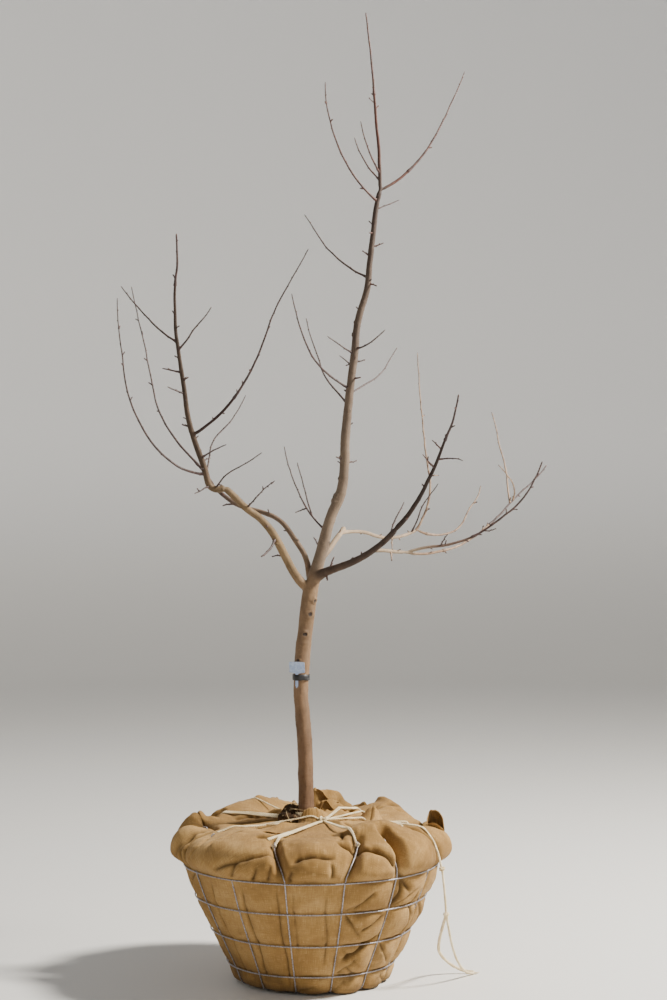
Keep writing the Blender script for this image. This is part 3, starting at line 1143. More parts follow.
# stuffed mounds of the crown: bearing, s, half width round, half width up, height
MOUNDS = [
    (-88, 58, 92, 62, 50), (-82, 120, 70, 50, 20), (-52, 72, 150, 72, 25), (-29, 118, 110, 80, 20), (-48, 205, 150, 62, 17),
    (3, 128, 92, 70, 24), (2, 22, 70, 26, 9), (27, 52, 74, 46, 30), (27, 10, 62, 22, 15), (51, 128, 146, 100, 47), (40, 212, 95, 58, 34), (60, 60, 90, 50, 18),
    (84, 78, 105, 76, 50), (101, 150, 90, 66, 27), (131, 158, 118, 92, 52), (147, 74, 90, 58, 26), (170, 130, 120, 80, 28), (172, 60, 80, 40, 16),
    (-163, 104, 100, 78, 38), (-142, 196, 140, 92, 56), (-139, 70, 90, 56, 25), (-116, 120, 105, 76, 32), (-110, 50, 70, 40, 22),
    (103, 296, 33, 30, 46), (120, 260, 90, 60, 10), (170, 270, 90, 60, 14), (-120, 290, 70, 50, 12), (70, 270, 90, 60, 10),
]
# how full each cell of the side is: bearing index, row from the top hoop down
rng = np.random.default_rng(61)
FULL = rng.uniform(7.5, 15.0, (SPOKES, 4))
FULL[13] = (4.0, 3.0, 3.5, 5.0)
FULL[12] = (5.0, 4.0, 4.0, 5.0)
FULL[11] = (7.0, 6.0, 5.0, 6.0)
FULL[0] = (6.0, 5.0, 6.0, 11.0)
FULL[1] = (18.0, 21.0, 22.0, 19.0)
FULL[2] = (18.0, 20.0, 18.0, 17.0)
FULL[3] = (14.0, 15.0, 15.0, 13.0)
HOOK_LEAN = {0: -8.5, 1: 10.5, 2: 1.0, 3: -3.0}
BURIED = (12, 13)      # uprights that the cloth covers above the top hoop

# folds: points (bearing, s), depth of the crease, its width, lip that overlaps it, side of the lip (1 left of the line, -1 right), reach of the lip
FOLDS = [
    # the long crease under the big right-hand mound, and on down the side
    ([(13, 166), (19, 138), (24.5, 116), (29.5, 94), (34, 70), (38, 46), (41, 22)], 28, 9, 8, 1, 22),
    ([(39, 36), (43, 6), (48, -30), (51, -62)], 15, 8, 2, 1, 12),
    ([(44, -2), (46, -40), (44, -84), (41, -118)], 16, 9, 4, 1, 20),
    # pressed in by the strand that runs to the right-hand front hook
    ([(25.8, 158), (25.2, 190), (22, 232), (15, 268)], 10, 13, 0, 1, 10),
    # rolled edge across the front cell, and the hollow below it
    ([(-8, 62), (-3, 76), (3, 80), (8, 74), (12, 78)], 15, 9, 10, -1, 22),
    ([(9, 66), (10, 40), (9, 20)], 11, 6, 3, 1, 14),
    ([(-7, 46), (-9, 20), (-8, 0)], 13, 8, 4, -1, 16),
    # tucks of the left-hand slope
    ([(-46, 20), (-37, 44), (-27, 62), (-17, 92), (-13, 120)], 12, 7, 8, -1, 22),
    ([(-31, 60), (-33, 34), (-36, 8)], 11, 7, 3, 1, 14),
    ([(-22, 52), (-24, 26), (-26, 2)], 10, 6, 3, -1, 12),
    ([(-16, 60), (-17, 30), (-18, 4)], 9, 6, 3, 1, 12),
    ([(-66, 170), (-62, 128), (-58, 92), (-60, 50), (-63, 14)], 16, 9, 7, 1, 26),
    ([(-44, 190), (-46, 150), (-49, 112), (-52, 84)], 9, 8, 6, 1, 24),
    ([(-20, 200), (-24, 178), (-31, 160)], 9, 6, 5, -1, 16),
    ([(-12, 218), (-22, 205), (-34, 204)], 8, 6, 4, 1, 14),
    # the roll at the far left and the pocket behind it
    ([(-99, 8), (-103, 50), (-104, 96), (-98, 140), (-86, 172), (-72, 186)], 20, 9, 8, 1, 26),
    ([(-80, 12), (-76, 44), (-74, 80), (-76, 112)], 10, 9, 3, -1, 18),
    ([(-118, 176), (-110, 152), (-104, 128)], 24, 11, 9, 1, 20),
    # slack of the sides, gathered downwards
    ([(-15, -4), (-14, -90), (-15, -190), (-13, -300), (-14, -436)], 7, 6, 5, 1, 14),
    ([(-7, -10), (-8, -100), (-6.5, -200), (-8, -300)], 5, 5, 3, -1, 12),
    ([(8, -24), (7, -110), (10, -200), (8, -340)], 6, 6, 3, 1, 13),
    ([(-31, -6), (-33, -110), (-30, -250), (-32, -420)], 7, 7, 4, -1, 16),
    ([(-49, -10), (-52, -130), (-48, -280), (-50, -410)], 7, 7, 4, 1, 16),
    ([(-60, -8), (-58, -90), (-61, -190)], 6, 6, 3, 1, 14),
    ([(40, -206), (34, -238), (26, -270), (17, -298)], 17, 8, 8, 1, 20),
    ([(30, -30), (24, -70), (20, -108)], 9, 8, 5, -1, 16),
    ([(39, -128), (33, -160), (24, -182)], 10, 8, 5, 1, 16),
    ([(22, -316), (27, -346), (34, -360)], 9, 7, 4, 1, 14),
    ([(60, -50), (56, -110), (62, -180), (57, -260)], 10, 8, 5, 1, 16),
    # between the right-hand mounds
    ([(72, 6), (70, 50), (69, 96), (74, 150), (80, 200), (80, 240)], 18, 9, 6, 1, 24),
    ([(24, 236), (22, 206), (17, 176)], 14, 8, 6, 1, 20),
    ([(62, 236), (58, 256), (48, 268), (34, 262), (24, 246)], 11, 9, 5, 1, 18),
    ([(92, 160), (96, 130), (104, 100), (112, 60), (115, 10)], 16, 9, 6, -1, 22),
    ([(80, 150), (86, 132), (92, 128), (98, 140)], 12, 7, 7, 1, 16),
]
# standing folds: points (x, y), heights, width
PLEATS = [
    ([(22, 52), (50, 74), (98, 94), (150, 106)], [84, 92, 86, 40], 20),
    ([(36, 16), (66, 34), (106, 47), (142, 42)], [50, 58, 44, 10], 15),
    ([(2, 42), (-8, 86), (4, 132)], [46, 46, 8], 15),
    ([(58, -14), (98, 2), (142, 10)], [20, 34, 8], 14),
    ([(-22, 46), (-48, 92), (-64, 134)], [26, 36, 8], 15),
    ([(-96, 40), (-124, 66), (-168, 76)], [34, 30, 6], 16),
    ([(-48, -40), (-26, -58), (6, -61), (34, -50), (50, -28)], [16, 38, 44, 40, 20], 16),
    ([(-60, -84), (-100, -116), (-130, -150)], [6, 16, 4], 14),
    ([(64, -70), (100, -110), (128, -160)], [6, 18, 4], 14),
    ([(-402, 52), (-390, 80), (-374, 104)], [40, 52, 38], 25),
    ([(-150, 330), (-96, 346), (-40, 330)], [8, 26, 6], 15),
    ([(190, 300), (232, 262), (262, 214)], [8, 28, 6], 15),
]


def seeded_folds():
    """creases of the sides that are not in front, by rule: one or two slanting ones in each gap between uprights, and radial ones further in"""
    rng = np.random.default_rng(73)
    out = []
    for k in range(SPOKES):
        b0 = bearings[k]
        mid = away(b0 + 12.9, 0.0)
        if -70 < mid < 95:
            continue
        for _ in range(2):
            a = b0 + rng.uniform(4, 21)
            turn = rng.uniform(-11, 11)
            top = rng.uniform(120, 210)
            pts = [(a + turn * u + rng.uniform(-1.2, 1.2), top * u + 4) for u in (0, 0.3, 0.6, 1.0)]
            out.append((pts, rng.uniform(9, 17), rng.uniform(6, 9), rng.uniform(3, 8), rng.choice([-1, 1]), rng.uniform(14, 24)))
    for k in range(16):
        a = rng.uniform(-180, 180)
        if -40 < a < 30:
            continue
        s0 = rng.uniform(190, 260)
        turn = rng.uniform(-16, 16)
        pts = [(a + turn * u, s0 + (400 - s0) * u) for u in (0, 0.33, 0.66, 1.0)]
        out.append((pts, rng.uniform(6, 12), rng.uniform(6, 9), rng.uniform(2, 6), rng.choice([-1, 1]), rng.uniform(12, 20)))
    # long slack folds of the sides that are turned away
    for k in range(SPOKES):
        mid = away(bearings[k] + 12.9, 0.0)
        if -70 < mid < 60:
            continue
        for _ in range(2):
            a = bearings[k] + rng.uniform(5, 21)
            s_end = rng.uniform(-430, -230)
            pts = [(a + rng.uniform(-3, 3), -4 + (s_end + 4) * u) for u in (0, 0.33, 0.66, 1.0)]
            out.append((pts, rng.uniform(5, 8), rng.uniform(6, 8), rng.uniform(3, 5), rng.choice([-1, 1]), rng.uniform(12, 17)))
    # short tucks of the side cells, mostly from a crossing of two wires
    for k in range(SPOKES):
        for row in range(4):
            if FULL[k][row] < 6.5:
                continue
            for _ in range(rng.integers(1, 3)):
                left = rng.random() < 0.5
                b0 = bearings[k] + (1.5 if left else 24.2)
                up = rng.random() < 0.5
                s_top = HOOP_S[row]
                s_low = HOOP_S[row + 1] if row < 3 else -425
                s0 = s_top - 5 if up else s_low + 5
                span = (s_low - s_top)
                reach = rng.uniform(0.35, 0.75)
                db = (1 if left else -1) * rng.uniform(3, 15)
                pts = [(b0 + db * u, s0 + (span if up else -span) * reach * u ** 0.9) for u in (0, 0.4, 0.75, 1.0)]
                out.append((pts, rng.uniform(4, 9), rng.uniform(4, 7), rng.uniform(0.5, 3), rng.choice([-1, 1]), rng.uniform(9, 15)))
    return out


def line_field(points, line):
    """for every point: distance to a polyline, signed side, share along it"""
    best = np.full(len(points), 1e9)
    side = np.zeros(len(points))
    share = np.zeros(len(points))
    seg = np.linalg.norm(np.diff(line, axis=0), axis=1)
    run = np.r_[0, np.cumsum(seg)]
    for i in range(len(line) - 1):
        a, d = line[i], line[i + 1] - line[i]
        t = np.clip(((points - a) @ d) / (d @ d), 0, 1)
        c = points - a - t[:, None] * d
        dist = np.sqrt((c ** 2).sum(1))
        m = dist < best
        best = np.where(m, dist, best)
        share = np.where(m, (run[i] + t * seg[i]) / run[-1], share)
        out = unit(np.array([a[0], a[1], 260.0 if a[2] > 420 else 0.0]))
        across = np.cross(out, d / np.linalg.norm(d))
        side = np.where(m, c @ across, side)
    return best, side, share


def refine_line(pts, n=5):
    """rounds a short list of points"""
    pts = np.asarray(pts, float)
    t = np.linspace(0, 1, len(pts))
    tt = np.linspace(0, 1, (len(pts) - 1) * n + 1)
    out = np.stack([np.interp(tt, t, pts[:, k]) for k in range(pts.shape[1])], 1)
    for _ in range(n):
        out[1:-1] = (out[:-2] + 2 * out[1:-1] + out[2:]) / 4
    return out


def cloth_shape(b, s):
    """the burlap's surface at bearings b and section distances s: points in mm"""
    p0, n0 = base_at(b, s)
    r0 = np.hypot(p0[:, 0], p0[:, 1])
    d = np.full(len(b), -4.6)
    # sides: each cell of the basket swells between its wires
    turn = (b - SPOKE_TURN) / (360.0 / SPOKES)
    k = np.floor(turn).astype(int) % SPOKES
    f = turn - np.floor(turn)
    row = np.clip(np.searchsorted(-np.array(HOOP_S), -s) - 1, 0, 3)
    top = np.array(HOOP_S)[row]
    low = np.array(HOOP_S[1:] + [-452.0])[row]
    g = np.clip((top - s) / (top - low), 0, 1)
    cell = np.abs(np.sin(np.pi * f)) ** 0.62 * np.sin(np.pi * g) ** 0.62
    side = smooth(3, -3, s) * smooth(-452, -440, s)
    d = d + side * (FULL[k, row] * cell - 2.2 * (1 - np.abs(np.sin(np.pi * f)) ** 0.35))
    # crown
    crown = smooth(-14, 16, s)
    puff = np.zeros(len(b))
    for b0, s0, wb, ws, h in MOUNDS:
        x = np.radians(away(b, b0)) * np.maximum(r0, 60) / wb
        y = (s - s0) / ws
        q = np.sqrt(x * x + y * y)
        puff = puff + h * np.where(q < 1.55, np.cos(np.clip(q / 1.55, 0, 1) * np.pi / 2) ** 1.6, 0)
    puff = puff + 9 * smooth(0, 40, s) * smooth(330, 200, s)
    over = np.where(s < 0, smooth(-34, 0, s) * 0.75, 1.0)
    d = d + puff * np.where(s < 0, over * 0.5, smooth(-6, 34, s) * 0.82 + 0.18)
    # rise and fall of the whole crown
    d = d + crown * 6 * fractal(p0 + n0 * 20, 120.0, 41, 2)
    wire_cover = np.zeros(len(b))
    for i, b0 in enumerate(bearings):
        if i in BURIED:
            continue
        lean = HOOK_LEAN.get(i, 0.0)
        path = b0 + lean * np.clip(s / 152.0, 0, 1) ** 1.3
        x = np.radians(away(b, path)) * r0
        w = np.exp(-np.abs(x / 17.0) ** 2.6) * smooth(-2, 12, s) * smooth(186, 156, s)
        wire_cover = np.maximum(wire_cover, w)
    for level in HOOP_S[1:]:
        c = np.exp(-np.abs((s - level) / 7.5) ** 2.4)
        d = d * (1 - c) - 7.2 * c
    for b0 in bearings:
        x = np.radians(away(b, b0)) * r0
        low_cover = np.exp(-np.abs(x / np.interp(s, [-200, -50], [7.0, 13.0])) ** 2.6) * smooth(-444, -430, s) * smooth(3, -2, s)
        d = d * (1 - low_cover) - 7.4 * low_cover
    wire_depth = np.interp(s, [0, 26, 57, 95, 147, 175], [-8.4, -12.8, -16.0, -15.0, -9.6, -7.6])
    push = np.zeros((len(b), 3))
    # pleats
    for pts, heights, width in PLEATS:
        pts = refine_line(pts, 5)
        line = np.stack([pts[:, 0], pts[:, 1], np.zeros(len(pts))], 1)
        near = np.flatnonzero((np.abs(p0[:, 0] - line[:, 0].mean()) < 150) & (np.abs(p0[:, 1] - line[:, 1].mean()) < 150) & (s > 40))
        flat = p0[near].copy()
        flat[:, 2] = 0
        best, sd, share = line_field(flat, line)
        h = np.interp(share, np.linspace(0, 1, len(heights)), heights)
        w = np.exp(-np.abs(best / width) ** 2.2) * smooth(24, 38, r0[near])
        push[near] += np.array([0.0, 0.0, 1.0]) * (h * w)[:, None]
    # the dark gap beside the trunk
    hollow = np.exp(-(np.abs((p0[:, 0] + 62) / 33) ** 3 + np.abs((p0[:, 1] + 14) / 52) ** 3)) * (s > 100)
    d = d - 42 * hollow
    # creases and overlaps
    shade = np.zeros(len(b))
    for pts, depth, width, lip, lipside, reach in FOLDS + seeded_folds():
        pts = refine_line(pts, 5)
        line, ln = base_at(pts[:, 0], pts[:, 1])
        lo, hi = line.min(0) - 70, line.max(0) + 70
        near = np.flatnonzero(((p0 > lo) & (p0 < hi)).all(1))
        if not len(near):
            continue
        best, sd, share = line_field(p0[near], line)
        ends = smooth(0, 0.16, share) * smooth(1.0, 0.8, share)
        u = sd * lipside
        wobble = 1 + 0.25 * fractal(p0[near], 30.0, 55, 2)
        dip = np.exp(-np.abs(best / (width * wobble)) ** 1.25)
        raised = np.where(u > 0, np.exp(-np.maximum(u, 0) / reach) * (1 - np.exp(-np.maximum(u, 0) / (width * 0.55))), 0)
        beyond = np.where(best < reach * 3, 1.0, 0.0)
        d[near] += ends * (-1.2 * depth * dip * wobble + lip * raised * 1.7 * beyond)
        shade[near] = np.maximum(shade[near], ends * np.exp(-(best / (width * 0.9)) ** 2) * min(1.0, depth / 14))
        # the lip leans over the crease
        tang = np.cross(ln.mean(0), line[-1] - line[0])
        tang = tang / max(np.linalg.norm(tang), 1e-9)
        lean = ends * np.where(u > 0, np.exp(-((u - width * 0.7) / (width * 0.8)) ** 2), 0) * min(lip, 9) * 0.55
        push[near] += -(tang * lipside)[None] * lean[:, None]
    # wrinkles: drawn in towards the trunk on the crown, slack and slanting on the sides
    a = np.stack([np.radians(b) * 420, s * 0.35, np.zeros(len(b))], 1)
    radial = fractal(np.stack([np.cos(np.radians(b)) * 260, np.sin(np.radians(b)) * 260, s * 0.30], 1), 34.0, 81, 3)
    ridged = (1 - np.abs(radial)) ** 3 - 0.35
    d = d + crown * smooth(20, 90, s) * 2.6 * ridged
    for i, b0 in enumerate(bearings):
        if i in BURIED:
            continue
        hb = b0 + HOOK_LEAN.get(i, 0.0)
        hx, hy = 352 * np.sin(np.radians(hb)), -352 * np.cos(np.radians(hb))
        dx, dy = p0[:, 0] - hx, p0[:, 1] - hy
        rho = np.hypot(dx, dy)
        near = np.flatnonzero((rho < 170) & (s > 20))
        phi = np.arctan2(dy[near], dx[near])
        wave = fractal(np.stack([np.cos(phi) * 26, np.sin(phi) * 26, 50.0 * i + rho[near] * 0.05], 1), 13.0, 95 + i, 2)
        pull = (1 - np.abs(wave)) ** 3 - 0.4
        d[near] += 4.2 * pull * np.exp(-rho[near] / 62) * smooth(6, 26, rho[near])
    rk = np.hypot(p0[:, 0] - 43, p0[:, 1] + 78)
    near = np.flatnonzero((rk < 190) & (s > 150))
    phi = np.arctan2(p0[near, 1] + 78, p0[near, 0] - 43)
    wave = fractal(np.stack([np.cos(phi) * 30, np.sin(phi) * 30, rk[near] * 0.05], 1), 12.0, 93, 2)
    d[near] += 5.0 * ((1 - np.abs(wave)) ** 3 - 0.4) * np.exp(-rk[near] / 70) * smooth(8, 30, rk[near])
    slack = fractal(p0 + 30 * np.stack([fractal(p0, 60, 5, 2), fractal(p0, 60, 6, 2), fractal(p0, 60, 7, 2)], 1), 48.0, 83, 3)
    d = d + 1.5 * slack * (0.5 + 0.5 * side) + 1.3 * ((1 - np.abs(slack)) ** 4 - 0.3) * np.clip(FULL[k, row] / 12, 0.35, 1.1)
    d = d + 0.55 * fractal(p0, 11.0, 90, 2)
    d = d * (1 - wire_cover) + wire_depth * wire_cover
    push = push * (1 - wire_cover)[:, None]
    # the top hoop stays on the outside of the cloth
    held = np.exp(-np.abs(s / 6.5) ** 3)
    d = d * (1 - held) + np.minimum(d, -2.4) * held
    push = push * (1 - held)[:, None]
    p = p0 + n0 * d[:, None] + push
    return p, d, shade, hollow


COLS = 640
ROWS_SIDE = np.concatenate([np.linspace(-452, -428, 7), np.linspace(-424, 0, 96)])
ROWS_OUT = np.linspace(4.2, 262, 62)
ROWS_IN = np.linspace(266.5, S_MAX - 1, 50)
ROWS_UNDER = np.array([S_MIN + 2, S_MIN + 40, S_MIN + 90, S_MIN + 140, S_MIN + 185, S_MIN + 215])


def cloth_grid():
    blocks = [(ROWS_UNDER, COLS // 4), (ROWS_SIDE, COLS), (ROWS_OUT, COLS), (ROWS_IN, COLS // 2)]
    b, s, first, widths = [], [], [], []
    n = 0
    for rows, cols in blocks:
        ang = np.linspace(-180, 180, cols, endpoint=False)
        for value in rows:
            b.append(ang)
            s.append(np.full(cols, value))
            first.append(n)
            widths.append(cols)
            n += cols
    quads, tris = [], []
    for i in range(len(first) - 1):
        a, c, w, w2 = first[i], first[i + 1], widths[i], widths[i + 1]
        if w == w2:
            j = np.arange(w)
            k = (j + 1) % w
            quads.append(np.stack([a + j, a + k, c + k, c + j], 1))
        elif w > w2:                                   # fine below, coarse above
            j = np.arange(w2)
            k = (j + 1) % w2
            f0, f1, f2 = a + 2 * j, a + 2 * j + 1, a + (2 * j + 2) % w
            tris += [np.stack([f0, f1, c + j], 1), np.stack([f1, c + k, c + j], 1), np.stack([f1, f2, c + k], 1)]
        else:                                          # coarse below, four times as fine above
            j = np.arange(w)
            k = (j + 1) % w
            m = w2 // w
            for q in range(m):
                tris.append(np.stack([(a + (j if q < m / 2 else k)), c + (m * j + q + 1) % w2, c + m * j + q], 1))
            tris.append(np.stack([a + j, a + k, c + (m * j + m // 2) % w2], 1))
    centre = n
    j = np.arange(widths[0])
    tris.append(np.stack([np.full(widths[0], centre), first[0] + (j + 1) % widths[0], first[0] + j], 1))
    return np.concatenate(b), np.concatenate(s), np.vstack(quads), np.vstack(tris), centre


grid_b, grid_s, cloth_q, cloth_t, centre = cloth_grid()
cloth_p, cloth_d, cloth_shade, cloth_hollow = cloth_shape(grid_b, grid_s)
lap("burlap shaped")
cloth_p = np.vstack([cloth_p, [[0, 0, 0.8]]])
extra_s = np.append(grid_s, S_MIN)
extra_b = np.append(grid_b, 0.0)
cloth_shade = np.append(cloth_shade, 0.0)
cloth_hollow = np.append(cloth_hollow, 0.0)
# flat underside, and nothing below the floor
under = extra_s < -452
cloth_p[under, 2] = 0.8
cloth_p[:, 2] = np.maximum(cloth_p[:, 2], 0.8 + 0.2 * np.clip((extra_s + 452) / 10, 0, 1))
cloth_mean = relaxer(len(cloth_p), cloth_q, cloth_t)
hold = smooth(-456, -446, extra_s)[:, None]
for _ in range(2):
    cloth_p = cloth_p + (cloth_mean(cloth_p) - cloth_p) * 0.45 * hold


def put_pieces(co, q, t, cuts, attrs, material, nodes):
    """splits one surface into pieces that keep the normals of the whole"""
    nrm = normals_of(co, q, t)
    for name, qm, tm in cuts:
        qq, tt = q[qm], t[tm]
        used = np.unique(np.concatenate([qq.ravel(), tt.ravel()]))
        back = np.full(len(co), -1)
        back[used] = np.arange(len(used))
        mesh = raw_mesh(name, co[used], back[qq], back[tt])
        for key, data in attrs.items():
            put(mesh, key, data[used] if not callable(data) else data(name)[used])
        mesh.normals_split_custom_set_from_vertices(nrm[used].tolist())
        obj = place(name, mesh, material)
        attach(obj, "root")
        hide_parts(*nodes)
        print(name, "triangles", 2 * len(qq) + len(tt))


def burlap_material():
    g = Graph("burlap_cloth")
    at = g.attribute("cloth_at")                 # across and along the cloth, metres
    crease = g.attribute("cloth_shade", "Fac")
    soil = g.attribute("cloth_soil", "Fac")
    pos = g.coords()
    sep = g.node("ShaderNodeSeparateXYZ", [at])
    u, v = sep.outputs[0], sep.outputs[1]
    # threads: pitch 2.3 mm, uneven in thickness and spacing
    drift_u = g.noise(g.scaled(at, (9, 60, 1)), 1.0, 2, 0.6)
    drift_v = g.noise(g.scaled(at, (60, 9, 1), (3, 5, 0)), 1.0, 2, 0.6)
    uu = g.math("ADD", g.math("MULTIPLY", u, 2 * math.pi / 0.0023), g.math("MULTIPLY", drift_v, 7.0))
    vv = g.math("ADD", g.math("MULTIPLY", v, 2 * math.pi / 0.0023), g.math("MULTIPLY", drift_u, 7.0))
    warp = g.math("ADD", g.math("MULTIPLY", g.math("SINE", uu), 0.5), 0.5)
    weft = g.math("ADD", g.math("MULTIPLY", g.math("SINE", vv), 0.5), 0.5)
    slub_u = g.noise(g.scaled(at, (430, 26, 1), (1, 0, 0)), 1.0, 2, 0.6)
    slub_v = g.noise(g.scaled(at, (26, 430, 1), (0, 7, 0)), 1.0, 2, 0.6)
    # over and under
    check = g.math("MULTIPLY", g.math("SINE", g.math("MULTIPLY", uu, 0.5)), g.math("SINE", g.math("MULTIPLY", vv, 0.5)))
    over = g.range(check, -0.25, 0.25)
    a = g.math("MULTIPLY", warp, g.range(slub_u, 0.2, 0.8, 0.65, 1.15, "LINEAR"))
    b = g.math("MULTIPLY", weft, g.range(slub_v, 0.2, 0.8, 0.65, 1.15, "LINEAR"))
    weave = g.math("MAXIMUM", g.math("MULTIPLY", a, g.math("ADD", 0.6, g.math("MULTIPLY", over, 0.4))), g.math("MULTIPLY", b, g.math("SUBTRACT", 1.0, g.math("MULTIPLY", over, 0.4))))
    thread_tone = g.math("ADD", g.math("MULTIPLY", slub_u, 0.5), g.math("MULTIPLY", slub_v, 0.5))
    broad = g.noise(pos, 5.0, 4, 0.6)
    patch = g.noise(pos, 16.0, 4, 0.65)
    fibre = g.noise(g.scaled(at, (260, 260, 1)), 1.0, 3, 0.7)
    base = g.ramp(broad, [(0.30, srgb(124, 94, 50)), (0.5, srgb(156, 122, 71)), (0.70, srgb(188, 153, 98))])
    base = g.mix(g.range(patch, 0.55, 0.75, 0.0, 0.45), base, srgb(140, 106, 66))
    base = g.mix(g.range(patch, 0.42, 0.25, 0.0, 0.35), base, srgb(206, 172, 118))
    base = g.mix(g.range(thread_tone, 0.36, 0.62, 0.42, 0.0), base, srgb(122, 90, 54))
    base = g.mix(g.range(thread_tone, 0.55, 0.72, 0.0, 0.45), base, srgb(218, 185, 132))
    base = g.mix(g.range(fibre, 0.56, 0.70, 0.0, 0.35), base, srgb(126, 94, 58))
    base = g.mix(g.range(weave, 0.42, 0.12, 0.0, 0.5), base, srgb(78, 56, 32))
    base = g.mix(g.math("MULTIPLY", crease, 0.72), base, srgb(66, 48, 26))
    base = g.mix(soil, base, g.mix(g.range(fibre, 0.4, 0.6), srgb(58, 42, 28), srgb(30, 22, 15)))
    g.set("Base Color", base)
    g.set("Roughness", 0.95)
    g.set("Specular IOR Level", 0.12)
    g.set("Sheen Weight", 0.04)
    g.set("Sheen Roughness", 0.6)
    n1 = g.bump(patch, 0.35, 0.004)
    g.set("Normal", g.bump(g.math("ADD", weave, g.math("MULTIPLY", fibre, 0.4)), 0.4, 0.0008, n1))
    return g.material


# dust and shade gather in the hollows
evened = cloth_p.copy()
for _ in range(26):
    evened = evened + (cloth_mean(evened) - evened) * 0.9
hollow_depth = ((evened - cloth_p) * normals_of(cloth_p, cloth_q, cloth_t)).sum(1)
cloth_shade = np.clip(cloth_shade + 0.85 * smooth(0.7, 6.5, hollow_depth) * smooth(-470, -445, extra_s), 0, 1)
CLOTH_ALL = cloth_p / 1000.0
rad_b = np.radians(extra_b)
flat_r = (S_MAX + 27 - extra_s) / 1000.0
at_crown = np.stack([flat_r * np.sin(rad_b), -flat_r * np.cos(rad_b), np.zeros(len(rad_b))], 1)
at_side = np.stack([np.interp(extra_s, SEC_S, SEC_R) / 1000 * 0 + rad_b * 0.40, extra_s / 1000.0, np.zeros(len(rad_b))], 1)


def even_threads(at, points, quads, keep, rounds=90):
    """moves flat cloth coordinates until neighbours lie as far apart as on the shaped cloth"""
    e = np.vstack([quads[:, [0, 1]], quads[:, [1, 2]], quads[:, [2, 3]], quads[:, [3, 0]], quads[:, [0, 2]], quads[:, [1, 3]]])
    e = np.unique(np.sort(e, 1), axis=0)
    i, j = e[:, 0], e[:, 1]
    length = np.linalg.norm(points[i] - points[j], axis=1)
    n = len(at)
    count = np.maximum(np.bincount(i, minlength=n) + np.bincount(j, minlength=n), 1)
    at = at.copy()
    for _ in range(rounds):
        d = at[j] - at[i]
        now = np.maximum(np.linalg.norm(d, axis=1), 1e-7)
        c = d * (0.5 * np.clip((now - length) / now, -0.6, 0.6))[:, None]
        for k in (0, 1):
            move = np.bincount(i, c[:, k], n) - np.bincount(j, c[:, k], n)
            at[:, k] += 1.3 * move / count * keep
    return at


crown_quads = cloth_q[(extra_s[cloth_q] >= -1e-6).all(1)]
at_crown = even_threads(at_crown, CLOTH_ALL, crown_quads, 1.0)
dirt = fractal(cloth_p, 90.0, 70, 4)
soil = np.clip(1.15 * cloth_hollow, 0, 1)
soil = np.maximum(soil, smooth(46, 4, cloth_p[:, 2] - 16 * dirt) * 0.5 * (extra_s > -470))
soil = np.maximum(soil, 0.30 * smooth(0.30, 0.62, fractal(cloth_p, 55.0, 71, 3)) * smooth(300, 120, cloth_p[:, 2]))
q_s = extra_s[cloth_q]
t_s = extra_s[cloth_t]
q_crown = q_s.min(1) >= -1e-6
t_crown = t_s.min(1) >= -1e-6
BURLAP = burlap_material()
put_pieces(CLOTH_ALL, cloth_q, cloth_t, [("burlap_crown", q_crown, t_crown), ("burlap_side", ~q_crown, ~t_crown)],
           {"cloth_at": lambda name: at_crown if name == "burlap_crown" else at_side, "cloth_shade": cloth_shade, "cloth_soil": soil},
           BURLAP, ["root_ball"])
all_tris = np.vstack([cloth_q[:, [0, 1, 2]], cloth_q[:, [0, 2, 3]], cloth_t])
CLOTH_TREE = BVHTree.FromPolygons(CLOTH_ALL.tolist(), all_tris.tolist())
lap("burlap")


def cloth_height(x, y, z_from=900.0):
    """top of the burlap under a point, mm"""
    hit = CLOTH_TREE.ray_cast(Vector((x / 1000, y / 1000, z_from / 1000)), Vector((0, 0, -1)))
    return hit[0].z * 1000 if hit[0] is not None else 0.0


def cloth_out(point, direction, start):
    """distance from the axis of the burlap along a flat direction at a height, from outside"""
    hit = CLOTH_TREE.ray_cast(Vector(np.asarray(point) / 1000 + np.asarray(direction) * start / 1000), Vector(-np.asarray(direction)))
    return None if hit[0] is None else np.array(hit[0]) * 1000


loose = Shape()


